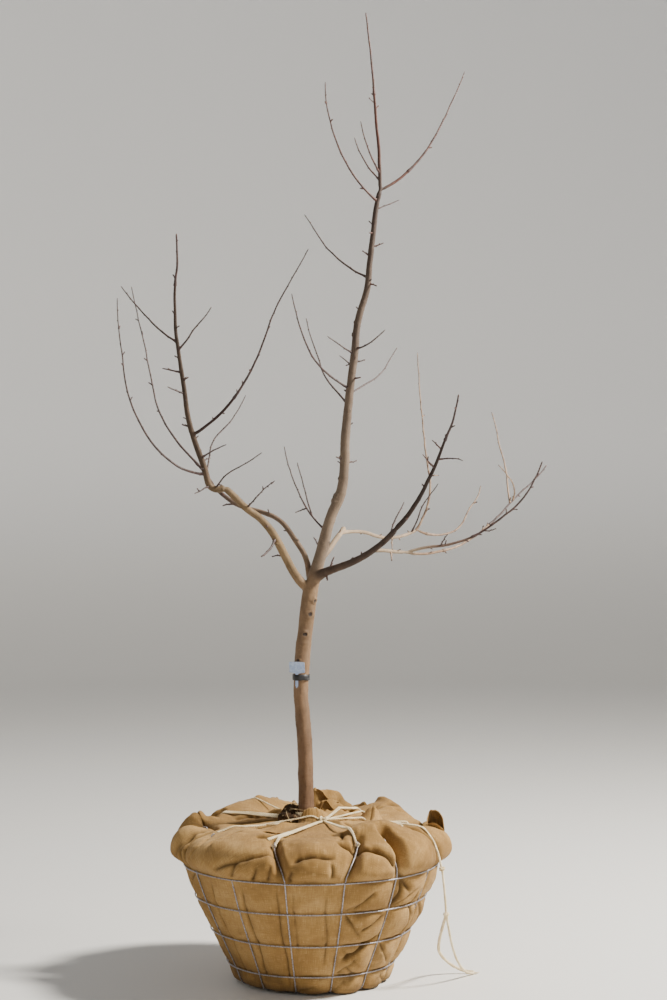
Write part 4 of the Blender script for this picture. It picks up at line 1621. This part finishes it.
def flap(base, heights, back, start=8.0, curl=70.0, seed=0, thick=2.6, sink=14.0, soil=0.0, nu=56, nv=22):
    """a free edge of the burlap standing on the crown: base points (x, y) or (x, y, z), heights, the way it leans, and how far it curls over"""
    base = [p if len(p) > 2 else (p[0], p[1], cloth_height(p[0], p[1])) for p in base]
    line = refine_line(base, 8)
    t = np.r_[0, np.cumsum(np.linalg.norm(np.diff(line, axis=0), axis=1))]
    u = np.linspace(0, 1, nu)
    p = np.stack([np.interp(u * t[-1], t, line[:, k]) for k in range(3)], 1)
    h = np.interp(u, np.linspace(0, 1, len(heights)), heights)
    for _ in range(6):
        h[1:-1] = (h[:-2] + 2 * h[1:-1] + h[2:]) / 4
    h = h * (1 + 0.10 * fractal(np.stack([u * t[-1], np.full(nu, seed * 9.0), np.zeros(nu)], 1), 22.0, 600 + seed, 2))
    back = unit(np.array([back[0], back[1], 0.0]))
    v = np.linspace(0, 1, nv)
    bend = fractal(np.stack([u * t[-1], np.zeros(nu), np.full(nu, seed * 5.0)], 1), 40.0, 620 + seed, 2)
    angle = np.radians(start)[None] if np.ndim(start) else math.radians(start)
    angle = angle - np.radians(curl * (1 + 0.35 * bend))[:, None] * v[None] ** 1.5
    step = (h + sink)[:, None] / (nv - 1)
    dx = np.cumsum(np.sin(angle) * step, 1)
    dz = np.cumsum(np.cos(angle) * step, 1)
    mid = p[:, None] - np.array([0, 0, sink]) + back * dx[..., None] + np.array([0, 0, 1.0]) * dz[..., None]
    wave = fractal(mid.reshape(-1, 3), 26.0, 640 + seed, 2).reshape(nu, nv)
    mid = mid + back * (2.6 * wave * v[None])[..., None]
    nrm = unit(np.cross(np.gradient(mid, axis=0), np.gradient(mid, axis=1)))
    edge = np.sqrt(np.maximum(1 - np.maximum(v - 0.9, 0) ** 2 / 0.0101, 0.02))[None, :, None] * np.sqrt(np.clip(np.minimum(u, 1 - u) / 0.05, 0.05, 1))[:, None, None]
    a = mid + nrm * thick / 2 * edge
    c = mid - nrm * thick / 2 * edge
    n = nu * nv
    i = np.arange(nu - 1)[:, None] * nv
    j = np.arange(nv - 1)[None]
    q1 = np.stack([i + j, i + nv + j, i + nv + j + 1, i + j + 1], -1).reshape(-1, 4)
    q2 = q1[:, ::-1] + n
    rim = np.concatenate([np.arange(nv), np.arange(1, nu) * nv + nv - 1, np.arange(nv - 2, -1, -1) + (nu - 1) * nv, np.arange(nu - 2, 0, -1) * nv])
    r2 = np.roll(rim, -1)
    q3 = np.stack([rim, r2, r2 + n, rim + n], -1)
    at = np.stack([np.repeat(u * t[-1], nv) / 1000 + seed * 0.37, np.tile(v, nu) * 0.06 + seed * 0.11, np.zeros(n)], 1)
    inner = np.concatenate([np.zeros(n), np.full(n, 0.25)])
    pts = np.vstack([a.reshape(-1, 3), c.reshape(-1, 3)])
    inner = inner + 0.5 * smooth(0.35, 0.0, np.tile(np.tile(v, nu), 2))
    loose.add(pts / 1000, np.vstack([q1, q2, q3]), cloth_at=np.vstack([at, at]), cloth_shade=inner, cloth_soil=np.full(2 * n, soil))


# the curled corner on the right, the gathers beside the trunk, and small turned edges
flap([(394, -34, 530), (400, -8, 532), (414, 20, 532), (438, 26, 526), (452, 4, 516), (455, -24, 506)], [10, 34, 66, 72, 58, 20], (0.1, 1.0), 10, 84, 1, sink=44, soil=0.12)
flap([(396, -36, 526), (414, -54, 518), (438, -54, 510), (451, -38, 504)], [10, 17, 17, 9], (0.0, 1.0), 0, 60, 2, sink=26)
flap([(18, 44), (40, 50), (66, 52), (96, 46)], [10, 26, 24, 8], (0.1, 1.0), 8, 86, 3, sink=16)
flap([(22, 14), (50, 20), (80, 18), (114, 24)], [10, 20, 18, 8], (0.1, 1.0), 8, 90, 4, sink=16)
flap([(-166, -198), (-140, -207), (-114, -205), (-92, -192)], [4, 12, 13, 5], (-0.1, 1.0), 0, 84, 5)
flap([(-118, -238), (-110, -228), (-98, -225), (-90, -232)], [4, 9, 9, 4], (-0.2, 1.0), 10, 90, 6)
flap([(-30, 52), (-8, 60), (18, 58)], [10, 22, 10], (0.0, -1.0), 10, 80, 7, sink=20)
flap([(120, 330), (150, 322), (186, 300), (206, 270)], [8, 20, 22, 8], (-0.5, -1.0), 6, 74, 9)
flap([(-250, 262), (-222, 290), (-186, 306), (-150, 312)], [8, 18, 20, 8], (0.5, -1.0), 6, 70, 10)
flap([(-60, 44), (-76, 60), (-100, 66)], [10, 16, 8], (0.4, -1.0), 10, 66, 11)
flap([(176, 170), (192, 158), (202, 138), (200, 118)], [5, 16, 17, 6], (-1.0, -0.2), 4, 84, 12, sink=16)
flap([(192, 76), (204, 56), (206, 30), (202, -2), (190, -22)], [5, 14, 17, 15, 5], (-1.0, 0.0), 2, 80, 13, sink=18)
obj = loose.build("burlap_loose_edges", BURLAP)
print("loose", loose.faces())
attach(obj, "root")

# the top of the soil shows beside the trunk, where the cloth doesn't meet round it
clod = Shape()
for cx, cy, cz, ra, rb, rc, seed in ((-62, 14, 538, 44, 38, 48, 1), (-86, -10, 534, 28, 30, 32, 2), (-48, -24, 530, 32, 32, 30, 3), (-34, 40, 538, 30, 28, 42, 4)):
    a, h = np.meshgrid(np.linspace(0, 2 * np.pi, 56, endpoint=False), np.linspace(-0.47, 0.5, 30) * np.pi)
    d = np.stack([np.cos(a) * np.cos(h), np.sin(a) * np.cos(h), np.sin(h)], -1).reshape(-1, 3)
    p = np.array([cx, cy, cz]) + d * [ra, rb, rc]
    lump = 5.0 * fractal(p, 24.0, 700 + seed, 3) + 2.2 * fractal(p, 7.0, 710 + seed, 2)
    clod.add((p + d * lump[:, None]) / 1000, ring_quads(30, 56))
g = Graph("dark_soil")
pos = g.coords()
n1, n2 = g.noise(pos, 60.0, 4, 0.65), g.noise(pos, 420.0, 3, 0.7)
c = g.mix(g.range(n1, 0.35, 0.68), srgb(44, 33, 24), srgb(82, 62, 44))
c = g.mix(g.range(n2, 0.60, 0.70, 0.0, 0.8), c, srgb(128, 104, 76))
g.set("Base Color", c)
g.set("Roughness", 0.95)
g.set("Specular IOR Level", 0.12)
g.set("Normal", g.bump(g.math("ADD", n1, g.math("MULTIPLY", n2, 0.5)), 0.9, 0.003))
obj = clod.build("soil_at_trunk", g.material)
print("soil", clod.faces())
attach(obj, "root")

straws = Shape()
for i in range(30):
    rng = np.random.default_rng(440 + i)
    x, y = rng.uniform(-100, -38), rng.uniform(-62, 46)
    z = max(cloth_height(x, y), 538 + 48 * math.sqrt(max(0.0, 1 - ((x + 62) / 44) ** 2 - ((y - 14) / 38) ** 2))) + 2
    d = unit(np.array([rng.normal(0, 1), rng.normal(0, 1), rng.uniform(-0.15, 0.55)]))
    bend = rng.normal(0, 1, 3) * [1, 1, 0.4]
    u = np.linspace(-0.12, 1, 12)
    length = rng.uniform(20, 50)
    p = np.array([x, y, z]) + d * (u * length)[:, None] + unit(bend) * (u ** 2 * length * rng.uniform(0.1, 0.45))[:, None]
    sweep(straws, p, np.linspace(rng.uniform(0.9, 1.7), 0.5, 12), 6)
obj = straws.build("rootlets", MATS["straw"])
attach(obj, "root")


# ------------------------------------------------------------------ wire basket
def polar(r, b, z):
    return np.array([r * math.sin(math.radians(b)), -r * math.cos(math.radians(b)), z])


def closed_sweep(shape, path, radius, sides):
    n = len(path)
    nxt, prv = np.roll(path, -1, 0), np.roll(path, 1, 0)
    tan = unit(nxt - prv)
    up = np.array([0.0, 0.0, 1.0])
    bi = unit(np.cross(tan, up))
    nor = np.cross(bi, tan)
    a = np.linspace(0, 2 * np.pi, sides, endpoint=False)
    r = np.asarray(radius, float) * np.ones(n)
    v = path[:, None] + r[:, None, None] * (np.cos(a)[None, :, None] * nor[:, None] + np.sin(a)[None, :, None] * bi[:, None])
    i = np.arange(n)[:, None] * sides
    i2 = ((np.arange(n) + 1) % n)[:, None] * sides
    j = np.arange(sides)[None]
    k = (j + 1) % sides
    quads = np.stack([i + j, i2 + j, i2 + k, i + k], -1).reshape(-1, 4)
    shape.add(v.reshape(-1, 3) / 1000, quads)


wire = Shape()
rng = np.random.default_rng(5)
hoop_lines = []
for index, (r, z) in enumerate(RINGS):
    b = np.linspace(-180, 180, 280, endpoint=False)
    wob = fractal(np.stack([np.cos(np.radians(b)) * 60, np.sin(np.radians(b)) * 60, np.full_like(b, index * 40.0)], 1), 24.0, 210 + index, 2)
    wob2 = fractal(np.stack([np.cos(np.radians(b)) * 60, np.sin(np.radians(b)) * 60, np.full_like(b, index * 40.0 + 20)], 1), 30.0, 220 + index, 2)
    rr = r + 1.3 * wob
    zz = z + 2.2 * wob2
    path = np.stack([rr * np.sin(np.radians(b)), -rr * np.cos(np.radians(b)), zz], 1)
    closed_sweep(wire, path, 2.3, 8)
    hoop_lines.append((b, rr, zz))
for k, b0 in enumerate(bearings):
    lean = HOOK_LEAN.get(k, rng.uniform(-3, 3))
    pts = [(150, b0, 3.2), (210, b0, 3.2), (244, b0, 3.4), (262, b0 + rng.uniform(-0.3, 0.3), 14)]
    for (r, z), (hb, hr, hz) in zip(RINGS, hoop_lines):
        i = int(np.argmin(np.abs(away(hb, b0))))
        pts.append((hr[i] - 4.5, b0 + rng.uniform(-0.12, 0.12), hz[i]))
    pts += [(436.5 - UNDER, b0 + 0.08 * lean, 421), (425.5 - UNDER, b0 + 0.3 * lean, 449), (399.5 - UNDER, b0 + 0.62 * lean, 474), (357, b0 + lean, 498)]
    line = np.array([polar(*p) for p in pts])
    line, _ = fine(refine_line(line, 6), 7.0)
    # the crimp that makes the wire springy
    n = np.arange(len(line))
    line = line + np.cross(frames_of(line)[0], unit(line * [1, 1, 0])) * (0.5 * np.sin(n * 1.9))[:, None]
    line[:, 2] = np.maximum(line[:, 2], 3.2)
    sweep(wire, line, np.full(len(line), 2.15), 8)
    # the hook that holds the twine
    end = line[-1]
    d = unit(line[-1] - line[-4])
    side = unit(np.cross(d, [0, 0, 1.0]))
    up = np.cross(side, d)
    a = np.linspace(0, 1.55 * math.pi, 12)
    hook = end + d * (9 * np.sin(a))[:, None] + up * (9 * (1 - np.cos(a)))[:, None]
    sweep(wire, np.vstack([line[-2], hook]), np.full(13, 2.1), 8)
    # weld at each crossing
    for (r, z), (hb, hr, hz) in zip(RINGS, hoop_lines):
        i = int(np.argmin(np.abs(away(hb, b0))))
        c = polar(hr[i] - 2.2, b0, hz[i])
        out = unit(c * [1, 1, 0])
        u = np.linspace(-1, 1, 7)
        sweep(wire, c + out * (u * 3.4)[:, None], 2.9 * np.sqrt(np.maximum(1 - (u * 0.96) ** 2, 0.02)), 8)
ub = np.linspace(-180, 180, 96, endpoint=False)
closed_sweep(wire, np.stack([150 * np.sin(np.radians(ub)), -150 * np.cos(np.radians(ub)), np.full(96, 3.2)], 1), 2.2, 6)

g = Graph("galvanised_wire")
pos = g.coords()
spangle = g.noise(pos, 240.0, 3, 0.6)
rub = g.noise(pos, 38.0, 3, 0.6)
c = g.mix(g.range(spangle, 0.35, 0.65), srgb(122, 118, 122), srgb(182, 178, 182))
c = g.mix(g.range(rub, 0.58, 0.75, 0.0, 0.7), c, srgb(120, 92, 74))
g.set("Base Color", c)
g.set("Metallic", 0.75)
g.set("Roughness", g.range(spangle, 0.3, 0.7, 0.38, 0.62))
g.set("Normal", g.bump(spangle, 0.3, 0.0006))
obj = wire.build("wire_basket_wires", g.material)
print("wire", wire.faces())
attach(obj, "root")
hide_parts("wire_basket")
lap("basket")


# ------------------------------------------------------------------ twine
twine_shape = Shape()
fuzz = Shape()


def twine(path, radius=2.5, pitch=17.0, step=2.8, plies=2, phase=0.0):
    """a laid cord: plies wound round a line"""
    p, s = fine(np.asarray(path, float), step)
    tan, nor, bi = frames_of(p)
    for k in range(plies):
        a = 2 * np.pi * (s / pitch + k / plies) + phase
        off = (nor * np.cos(a)[:, None] + bi * np.sin(a)[:, None]) * radius * 0.55
        rr = radius * (0.72 + 0.07 * fractal(np.stack([s, np.full_like(s, 31.0 * k + phase), np.zeros_like(s)], 1), 6.0, 17, 2))
        sweep(twine_shape, p + off, rr, 6)
    return p


def taut(points, lift=2.0, slack=0.15, samples=60):
    """a strand pulled over the crown between plan points: rides on the mounds and spans the valleys"""
    pts = refine_line(np.asarray(points, float), 8) if len(points) > 2 else np.asarray(points, float)
    t = np.r_[0, np.cumsum(np.linalg.norm(np.diff(pts[:, :2], axis=0), axis=1))]
    tt = np.linspace(0, t[-1], samples)
    x, y = np.interp(tt, t, pts[:, 0]), np.interp(tt, t, pts[:, 1])
    ground = np.array([cloth_height(a, b) for a, b in zip(x, y)]) + lift
    z = ground.copy()
    if pts.shape[1] > 2:
        z[0], z[-1] = max(pts[0, 2], ground[0]), max(pts[-1, 2], ground[-1])
    hull = [0]
    for i in range(1, samples):
        while len(hull) > 1 and (z[hull[-1]] - z[hull[-2]]) * (tt[i] - tt[hull[-2]]) <= (z[i] - z[hull[-2]]) * (tt[hull[-1]] - tt[hull[-2]]):
            hull.pop()
        hull.append(i)
    high = np.interp(tt, tt[hull], z[hull])
    z = np.maximum(high * (1 - slack) + ground * slack, ground)
    for _ in range(2):
        z[1:-1] = np.maximum((z[:-2] + 2 * z[1:-1] + z[2:]) / 4, ground[1:-1])
    return np.stack([x, y, z], 1)


KNOT = np.array([43.0, -78.0])
knot_z = cloth_height(*KNOT) + 5
hook_ends = []
for k, b0 in enumerate(bearings):
    lean = HOOK_LEAN.get(k, 0.0)
    e = polar(352, b0 + lean, 505)
    hook_ends.append(e)


def tucked(p, start=False, end=False):
    """the ends of a strand slip under the cloth"""
    p = p.copy()
    s = np.r_[0, np.cumsum(np.linalg.norm(np.diff(p, axis=0), axis=1))]
    if start:
        p[:, 2] -= 13 * np.clip(1 - s / 20, 0, 1) ** 1.4
    if end:
        p[:, 2] -= 13 * np.clip(1 - (s[-1] - s) / 20, 0, 1) ** 1.4
    return p


def strand(a, b, spread=4.0, count=2, seed=0, slack=0.12, bend=0.0, tuck=""):
    """doubled twine from a to b, side by side and touching here and there"""
    rng = np.random.default_rng(seed)
    a, b = np.asarray(a, float), np.asarray(b, float)
    d = unit((b - a)[:2])
    across = np.array([-d[1], d[0]])
    made = []
    for i in range(count):
        o = (i - (count - 1) / 2) * spread
        mid = (a[:2] + b[:2]) / 2 + across * (o + bend + rng.uniform(-2.5, 2.5))
        q1 = a[:2] * 0.75 + b[:2] * 0.25 + across * (o * 0.8 + bend * 0.6 + rng.uniform(-1.5, 1.5))
        q3 = a[:2] * 0.25 + b[:2] * 0.75 + across * (o * 0.8 + bend * 0.6 + rng.uniform(-1.5, 1.5))
        pts = [(*(a[:2] + across * o * 0.3), a[2]), (*q1, 0), (*mid, 0), (*q3, 0), (*(b[:2] + across * o * 0.3), b[2])]
        p = taut(pts, 2.2 + 0.6 * (i % 2), slack)
        made.append(twine(tucked(p, "a" in tuck, "b" in tuck), phase=rng.uniform(0, 6)))
    return made


K3 = (KNOT[0], KNOT[1], knot_z)


def on_cloth(x, y, up=3.0):
    return (x, y, cloth_height(x, y) + up)


strand(K3, hook_ends[0], 5.2, 3, 1, 0.05, -3)
strand((KNOT[0] - 8, KNOT[1] - 4, knot_z), hook_ends[0] + [-22, 12, 0], 6.0, 3, 2, 0.12, 10)
strand(K3, hook_ends[1], 4.4, 2, 3, 0.1, 2)
strand(K3, on_cloth(190, 12), 5.0, 2, 4, 0.05, -4, "b")
strand(K3, on_cloth(188, 52), 5.0, 2, 5, 0.05, 0, "b")
strand(K3, on_cloth(184, 150), 4.6, 2, 6, 0.05, -8, "b")
strand(on_cloth(246, 2), hook_ends[4], 4.6, 2, 14, 0.15, 2, "a")
strand(on_cloth(262, -18), hook_ends[3], 4.2, 1, 15, 0.2, 4, "a")
strand((-30, 34, cloth_height(-30, 34) + 10), hook_ends[7], 4.2, 2, 7, 0.1, 4)
strand((-40, -8, cloth_height(-46, -8) + 14), np.array(on_cloth(-366, 152, 6)), 6.5, 3, 8, 0.06, 0, "b")
strand((-38, -20, cloth_height(-46, -20) + 10), hook_ends[12], 4.2, 2, 9, 0.25, 6)
strand((KNOT[0] - 4, KNOT[1] + 4, knot_z), on_cloth(-190, -96, 4), 4.0, 1, 16, 0.1, -4, "b")
strand((-34, 26, cloth_height(-40, 26) + 10), hook_ends[9], 4.0, 1, 10, 0.15, -6)
# round the foot of the trunk
trunk_line, trunk_s = limb_lines["trunk"]
for turn_no in range(2):
    a = np.linspace(-0.5, 2 * math.pi - 0.2, 60)
    z = 561 + 6 * turn_no + 5 * np.sin(a + turn_no)
    c = np.array([[np.interp(zz, trunk_line[:, 2], trunk_line[:, 0]), np.interp(zz, trunk_line[:, 2], trunk_line[:, 1])] for zz in z])
    r = 36.0 + 1.0 * turn_no + 0.8 * np.sin(3 * a)
    twine(np.stack([c[:, 0] + r * np.cos(a), c[:, 1] + r * np.sin(a), z], 1), phase=turn_no)
# the knot
for i in range(4):
    a = np.linspace(0, 2 * math.pi * 1.05, 40)
    rng = np.random.default_rng(300 + i)
    tilt = rng.uniform(-0.9, 0.9, 2)
    r = 8.5 + rng.uniform(-1.5, 2)
    loop = np.stack([r * np.cos(a), r * 0.75 * np.sin(a), 4.5 * np.sin(2 * a + i) + tilt[0] * 4 * np.cos(a) + tilt[1] * 4 * np.sin(a)], 1)
    twine(loop + [KNOT[0] + rng.uniform(-3, 3), KNOT[1] + rng.uniform(-3, 3), knot_z + 4 + i * 1.2], phase=i)
# loops on the hooks that show
for k in (0, 1, 3, 4, 7, 9, 12):
    e = hook_ends[k]
    out = unit(e * [1, 1, 0])
    side = np.array([-out[1], out[0], 0])
    for j in range(2):
        a = np.linspace(0, 2 * math.pi * 1.1, 26)
        loop = e + out * (3 + 2.5 * j) + side[None] * (6.0 * np.cos(a))[:, None] + np.array([0, 0, 1.0])[None] * (5.5 * np.sin(a))[:, None] + out[None] * (1.5 * np.sin(2 * a))[:, None]
        loop[:, 2] = np.maximum(loop[:, 2], 480)
        twine(loop, phase=j + k)

# the long end: over the right-hand shoulder, down past a knot and back up, frayed on the floor
RUN = [(258, 2), (280, -6), (312, -22), (345, -56), (368, -88)]
run = taut([(236, 8, cloth_height(236, 8))] + [(x, y, 0) for x, y in RUN] + [(384, -118, cloth_height(384, -118))], 2.4, 0.4, 60)
DOWN = [(404, -150, 500), (424, -168, 455), (438, -174, 398), (446, -176, 330), (452, -172, 248)]


def clear_of_cloth(points, gap=2.4):
    """moves a hanging line out of the burlap where it would lie in it"""
    out = []
    for p in np.asarray(points, float):
        flat = unit(p * [1, 1, 0])
        hit = cloth_out([0, 0, p[2]], flat, 700.0)
        if hit is not None:
            need = np.hypot(hit[0], hit[1]) + gap
            have = np.hypot(p[0], p[1])
            if have < need:
                p = np.array([flat[0] * need, flat[1] * need, p[2]])
        out.append(p)
    out = np.array(out)
    for _ in range(3):
        out[1:-1] = (out[:-2] + 2 * out[1:-1] + out[2:]) / 4
    return out


down = clear_of_cloth(refine_line([tuple(run[-1])] + DOWN, 10))
line = tucked(np.vstack([run[:-1], down]), start=True)
twine(line, 3.6)
twine(line[:len(run) + 8] + [0, -5.8, 0.6], 2.8, phase=2)
loop_a = refine_line([(452, -172, 248), (461, -158, 195), (470, -142, 150), (486, -104, 92), (508, -52, 46), (530, -2, 16), (549, 25, 6.4), (560, 35, 5.6)], 8)
loop_b = refine_line([(452, -172, 248), (444, -150, 214), (434, -108, 160), (432, -60, 118), (436, -14, 88), (456, 26, 54), (486, 44, 27), (520, 46, 11), (546, 45, 6.8), (560, 44, 6.6)], 8)
loop_b = clear_of_cloth(loop_b, 3.0)
twine(loop_a, 3.8, phase=1)
twine(loop_b, 4.6, phase=4)
for centre_point, size in (((438, -174, 400), 7.0), ((452, -172, 248), 7.5)):
    for i in range(3):
        a = np.linspace(0, 2 * math.pi * 1.05, 30)
        rng = np.random.default_rng(330 + i + int(size * 10))
        loop = np.stack([size * np.cos(a), size * 0.8 * np.sin(a), 3.2 * np.sin(2 * a + i) + 2.5 * np.cos(a + i)], 1)
        twine(loop + np.array(centre_point), 3.0, phase=i)
# frayed end
for i in range(16):
    rng = np.random.default_rng(360 + i)
    d = unit(np.array([1.0, 0.45, 0]) + rng.normal(0, 0.45, 3) * [1, 1, 0.3])
    u = np.linspace(0, 1, 9)
    p = np.array([557.0, 39.0, 5.0 - 3.2 * (i % 2)]) + d * (u * rng.uniform(12, 28))[:, None] + rng.normal(0, 1.2, (9, 3)).cumsum(0) * [1, 1, 0.25]
    p[:, 2] = np.maximum(p[:, 2], 0.7)
    sweep(twine_shape, p, np.linspace(0.6, 0.25, 9), 4)
# loose fibres along it
rng = np.random.default_rng(377)
all_twine = np.vstack(twine_shape.v) * 1000
pick = rng.choice(len(all_twine), 900, replace=False)
for i in pick:
    d = unit(rng.normal(0, 1, 3))
    d[2] = abs(d[2]) * 0.6
    length = rng.uniform(2.5, 8)
    u = np.linspace(0, 1, 4)
    p = all_twine[i] + d * (u * length)[:, None] + rng.normal(0, 0.5, (4, 3)) * u[:, None]
    p[:, 2] = np.maximum(p[:, 2], 0.5)
    sweep(fuzz, p, np.array([0.22, 0.2, 0.17, 0.1]), 3)

g = Graph("sisal_twine")
pos = g.coords()
n1 = g.noise(pos, 420.0, 3, 0.7)
n2 = g.noise(pos, 30.0, 3, 0.6)
c = g.mix(g.range(n2, 0.35, 0.65), srgb(220, 200, 158), srgb(242, 228, 196))
c = g.mix(g.range(n1, 0.54, 0.76, 0.0, 0.5), c, srgb(172, 142, 98))
g.set("Base Color", c)
g.set("Roughness", 0.9)
g.set("Specular IOR Level", 0.15)
g.set("Normal", g.bump(n1, 0.5, 0.0006))
obj = twine_shape.build("twine_strands", g.material)
print("twine", twine_shape.faces(), fuzz.faces())
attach(obj, "root")
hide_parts("twine_lacing", "twine_tail")
obj = fuzz.build("twine_fibres", g.material)
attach(obj, "root")
lap("twine")


# ------------------------------------------------------------------ tag and its band
def ring_at(name, z):
    line, s = limb_lines[name]
    return np.array([np.interp(z, line[:, 2], line[:, k]) for k in range(3)])


band = Shape()
b_z, b_h, b_t = 1023.0, 20.0, 1.6
c = ring_at("trunk", b_z)
b_r = float(girth("trunk", (b_z - 520) / 800)) / 2 + 2.0
prof = [(-0.2, -b_h / 2 + 0.6), (0.5, -b_h / 2), (b_t, -b_h / 2 + 0.7), (b_t + 0.25, 0), (b_t, b_h / 2 - 0.7), (0.5, b_h / 2), (-0.2, b_h / 2 - 0.6), (-0.2, 0)]
n = 96
rows = []
for j, (dr, dz) in enumerate(prof):
    b = np.linspace(0, 360, n, endpoint=False)
    wav = 0.5 * np.sin(np.radians(b) * 3 + 1) + 0.4 * np.sin(np.radians(b) * 5)
    over_tag = away(b, -28.0)
    r = b_r + dr + wav * 0.35 + 3.6 * np.exp(-np.abs(over_tag / 27.0) ** 3)
    rows.append(np.stack([c[0] + r * np.sin(np.radians(b)), c[1] - r * np.cos(np.radians(b)), np.full(n, c[2] * 0 + b_z + dz) + wav * 0.7 * (1 if abs(dz) > 5 else 0.6)], 1))
v = np.concatenate(rows)
i = np.arange(len(prof))[:, None] * n
i2 = ((np.arange(len(prof)) + 1) % len(prof))[:, None] * n
j = np.arange(n)[None]
k = (j + 1) % n
band.add(v / 1000, np.stack([i + j, i + k, i2 + k, i2 + j], -1).reshape(-1, 4))
g = Graph("black_band")
n1 = g.noise(g.coords(), 300.0, 2)
g.set("Base Color", g.mix(n1, srgb(18, 18, 21), srgb(30, 31, 35)))
g.set("Roughness", g.range(n1, 0.3, 0.7, 0.42, 0.6))
g.set("Normal", g.bump(n1, 0.2, 0.0005))
obj = band.build("tag_band_strap", g.material)
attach(obj, "root")
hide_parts("tag_band")

tag = Shape()
# plate above, a narrow strip below that runs under the band and ends in a point; the plate curls a little
TAG_W, TAG_H, TAG_Z = 59.0, 39.0, 1057.0
bearing = math.radians(-28)
face = np.array([math.sin(bearing), -math.cos(bearing), 0.0])
along_x = np.array([math.cos(bearing), math.sin(bearing), 0.0])
r0 = float(girth("trunk", (b_z - 520) / 800)) / 2 + 4.0


def half_width(h):
    """half the tag's width at a height over its middle"""
    if h > -TAG_H / 2 + 2.5:
        corner = max(0.0, abs(h) - (TAG_H / 2 - 3.5))
        return TAG_W / 2 - 3.5 + math.sqrt(max(3.5 ** 2 - corner ** 2, 0.0))
    if h > -TAG_H / 2 - 2.5:
        f = (h - (-TAG_H / 2 - 2.5)) / 5.0
        return 5.0 + (TAG_W / 2 - 5.0 - 3.5) * f * f
    if h > -62:
        return 5.0
    return max(0.4, 5.0 * (h + 70) / 8.0)


hs = np.concatenate([np.linspace(-70, -62, 5), np.linspace(-60, -TAG_H / 2 - 3, 18), np.linspace(-TAG_H / 2 - 2.5, -TAG_H / 2 + 2.5, 8), np.linspace(-TAG_H / 2 + 3, TAG_H / 2, 22)])
cols = 21
for sidey in (0, 1):
    rows = []
    for h in hs:
        w = half_width(h)
        u = np.linspace(-w, w, cols)
        curl = -0.0032 * u * u + 2.2 * smooth(-10, 20, h) + 0.012 * np.maximum(h, 0) * 2.5
        depth = r0 + curl + (0.9 if sidey else 0.0)
        rows.append(np.array([c * [1, 1, 0]]) + along_x * u[:, None] + face * np.asarray(depth).reshape(-1, 1) + np.array([0, 0, TAG_Z + h]))
    v = np.concatenate(rows)
    q = []
    for a in range(len(hs) - 1):
        for b in range(cols - 1):
            o = [a * cols + b, a * cols + b + 1, (a + 1) * cols + b + 1, (a + 1) * cols + b]
            q.append(o if sidey else o[::-1])
    if sidey == 0:
        v0, q0 = v, q
    else:
        allv = np.vstack([v0, v])
        n0 = len(v0)
        rim = [a * cols for a in range(len(hs))] + [(len(hs) - 1) * cols + b for b in range(cols)] + [a * cols + cols - 1 for a in range(len(hs) - 1, -1, -1)] + [b for b in range(cols - 1, 0, -1)]
        qq = q0 + [[i + n0 for i in f] for f in q]
        for a, b in zip(rim, rim[1:] + rim[:1]):
            if a != b:
                qq.append([a, b, b + n0, a + n0])
        tag.add(allv / 1000, np.array(qq))
g = Graph("blank_tag_card")
n1 = g.noise(g.coords(), 120.0, 3)
g.set("Base Color", g.mix(g.range(n1, 0.35, 0.7), srgb(160, 180, 218), srgb(190, 205, 230)))
g.set("Roughness", 0.48)
g.set("Normal", g.bump(n1, 0.12, 0.001))
obj = tag.build("tag_card", g.material)
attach(obj, "root")
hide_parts("tag")
lap("tag")

# ------------------------------------------------------------------ sizes
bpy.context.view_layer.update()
lap("done")
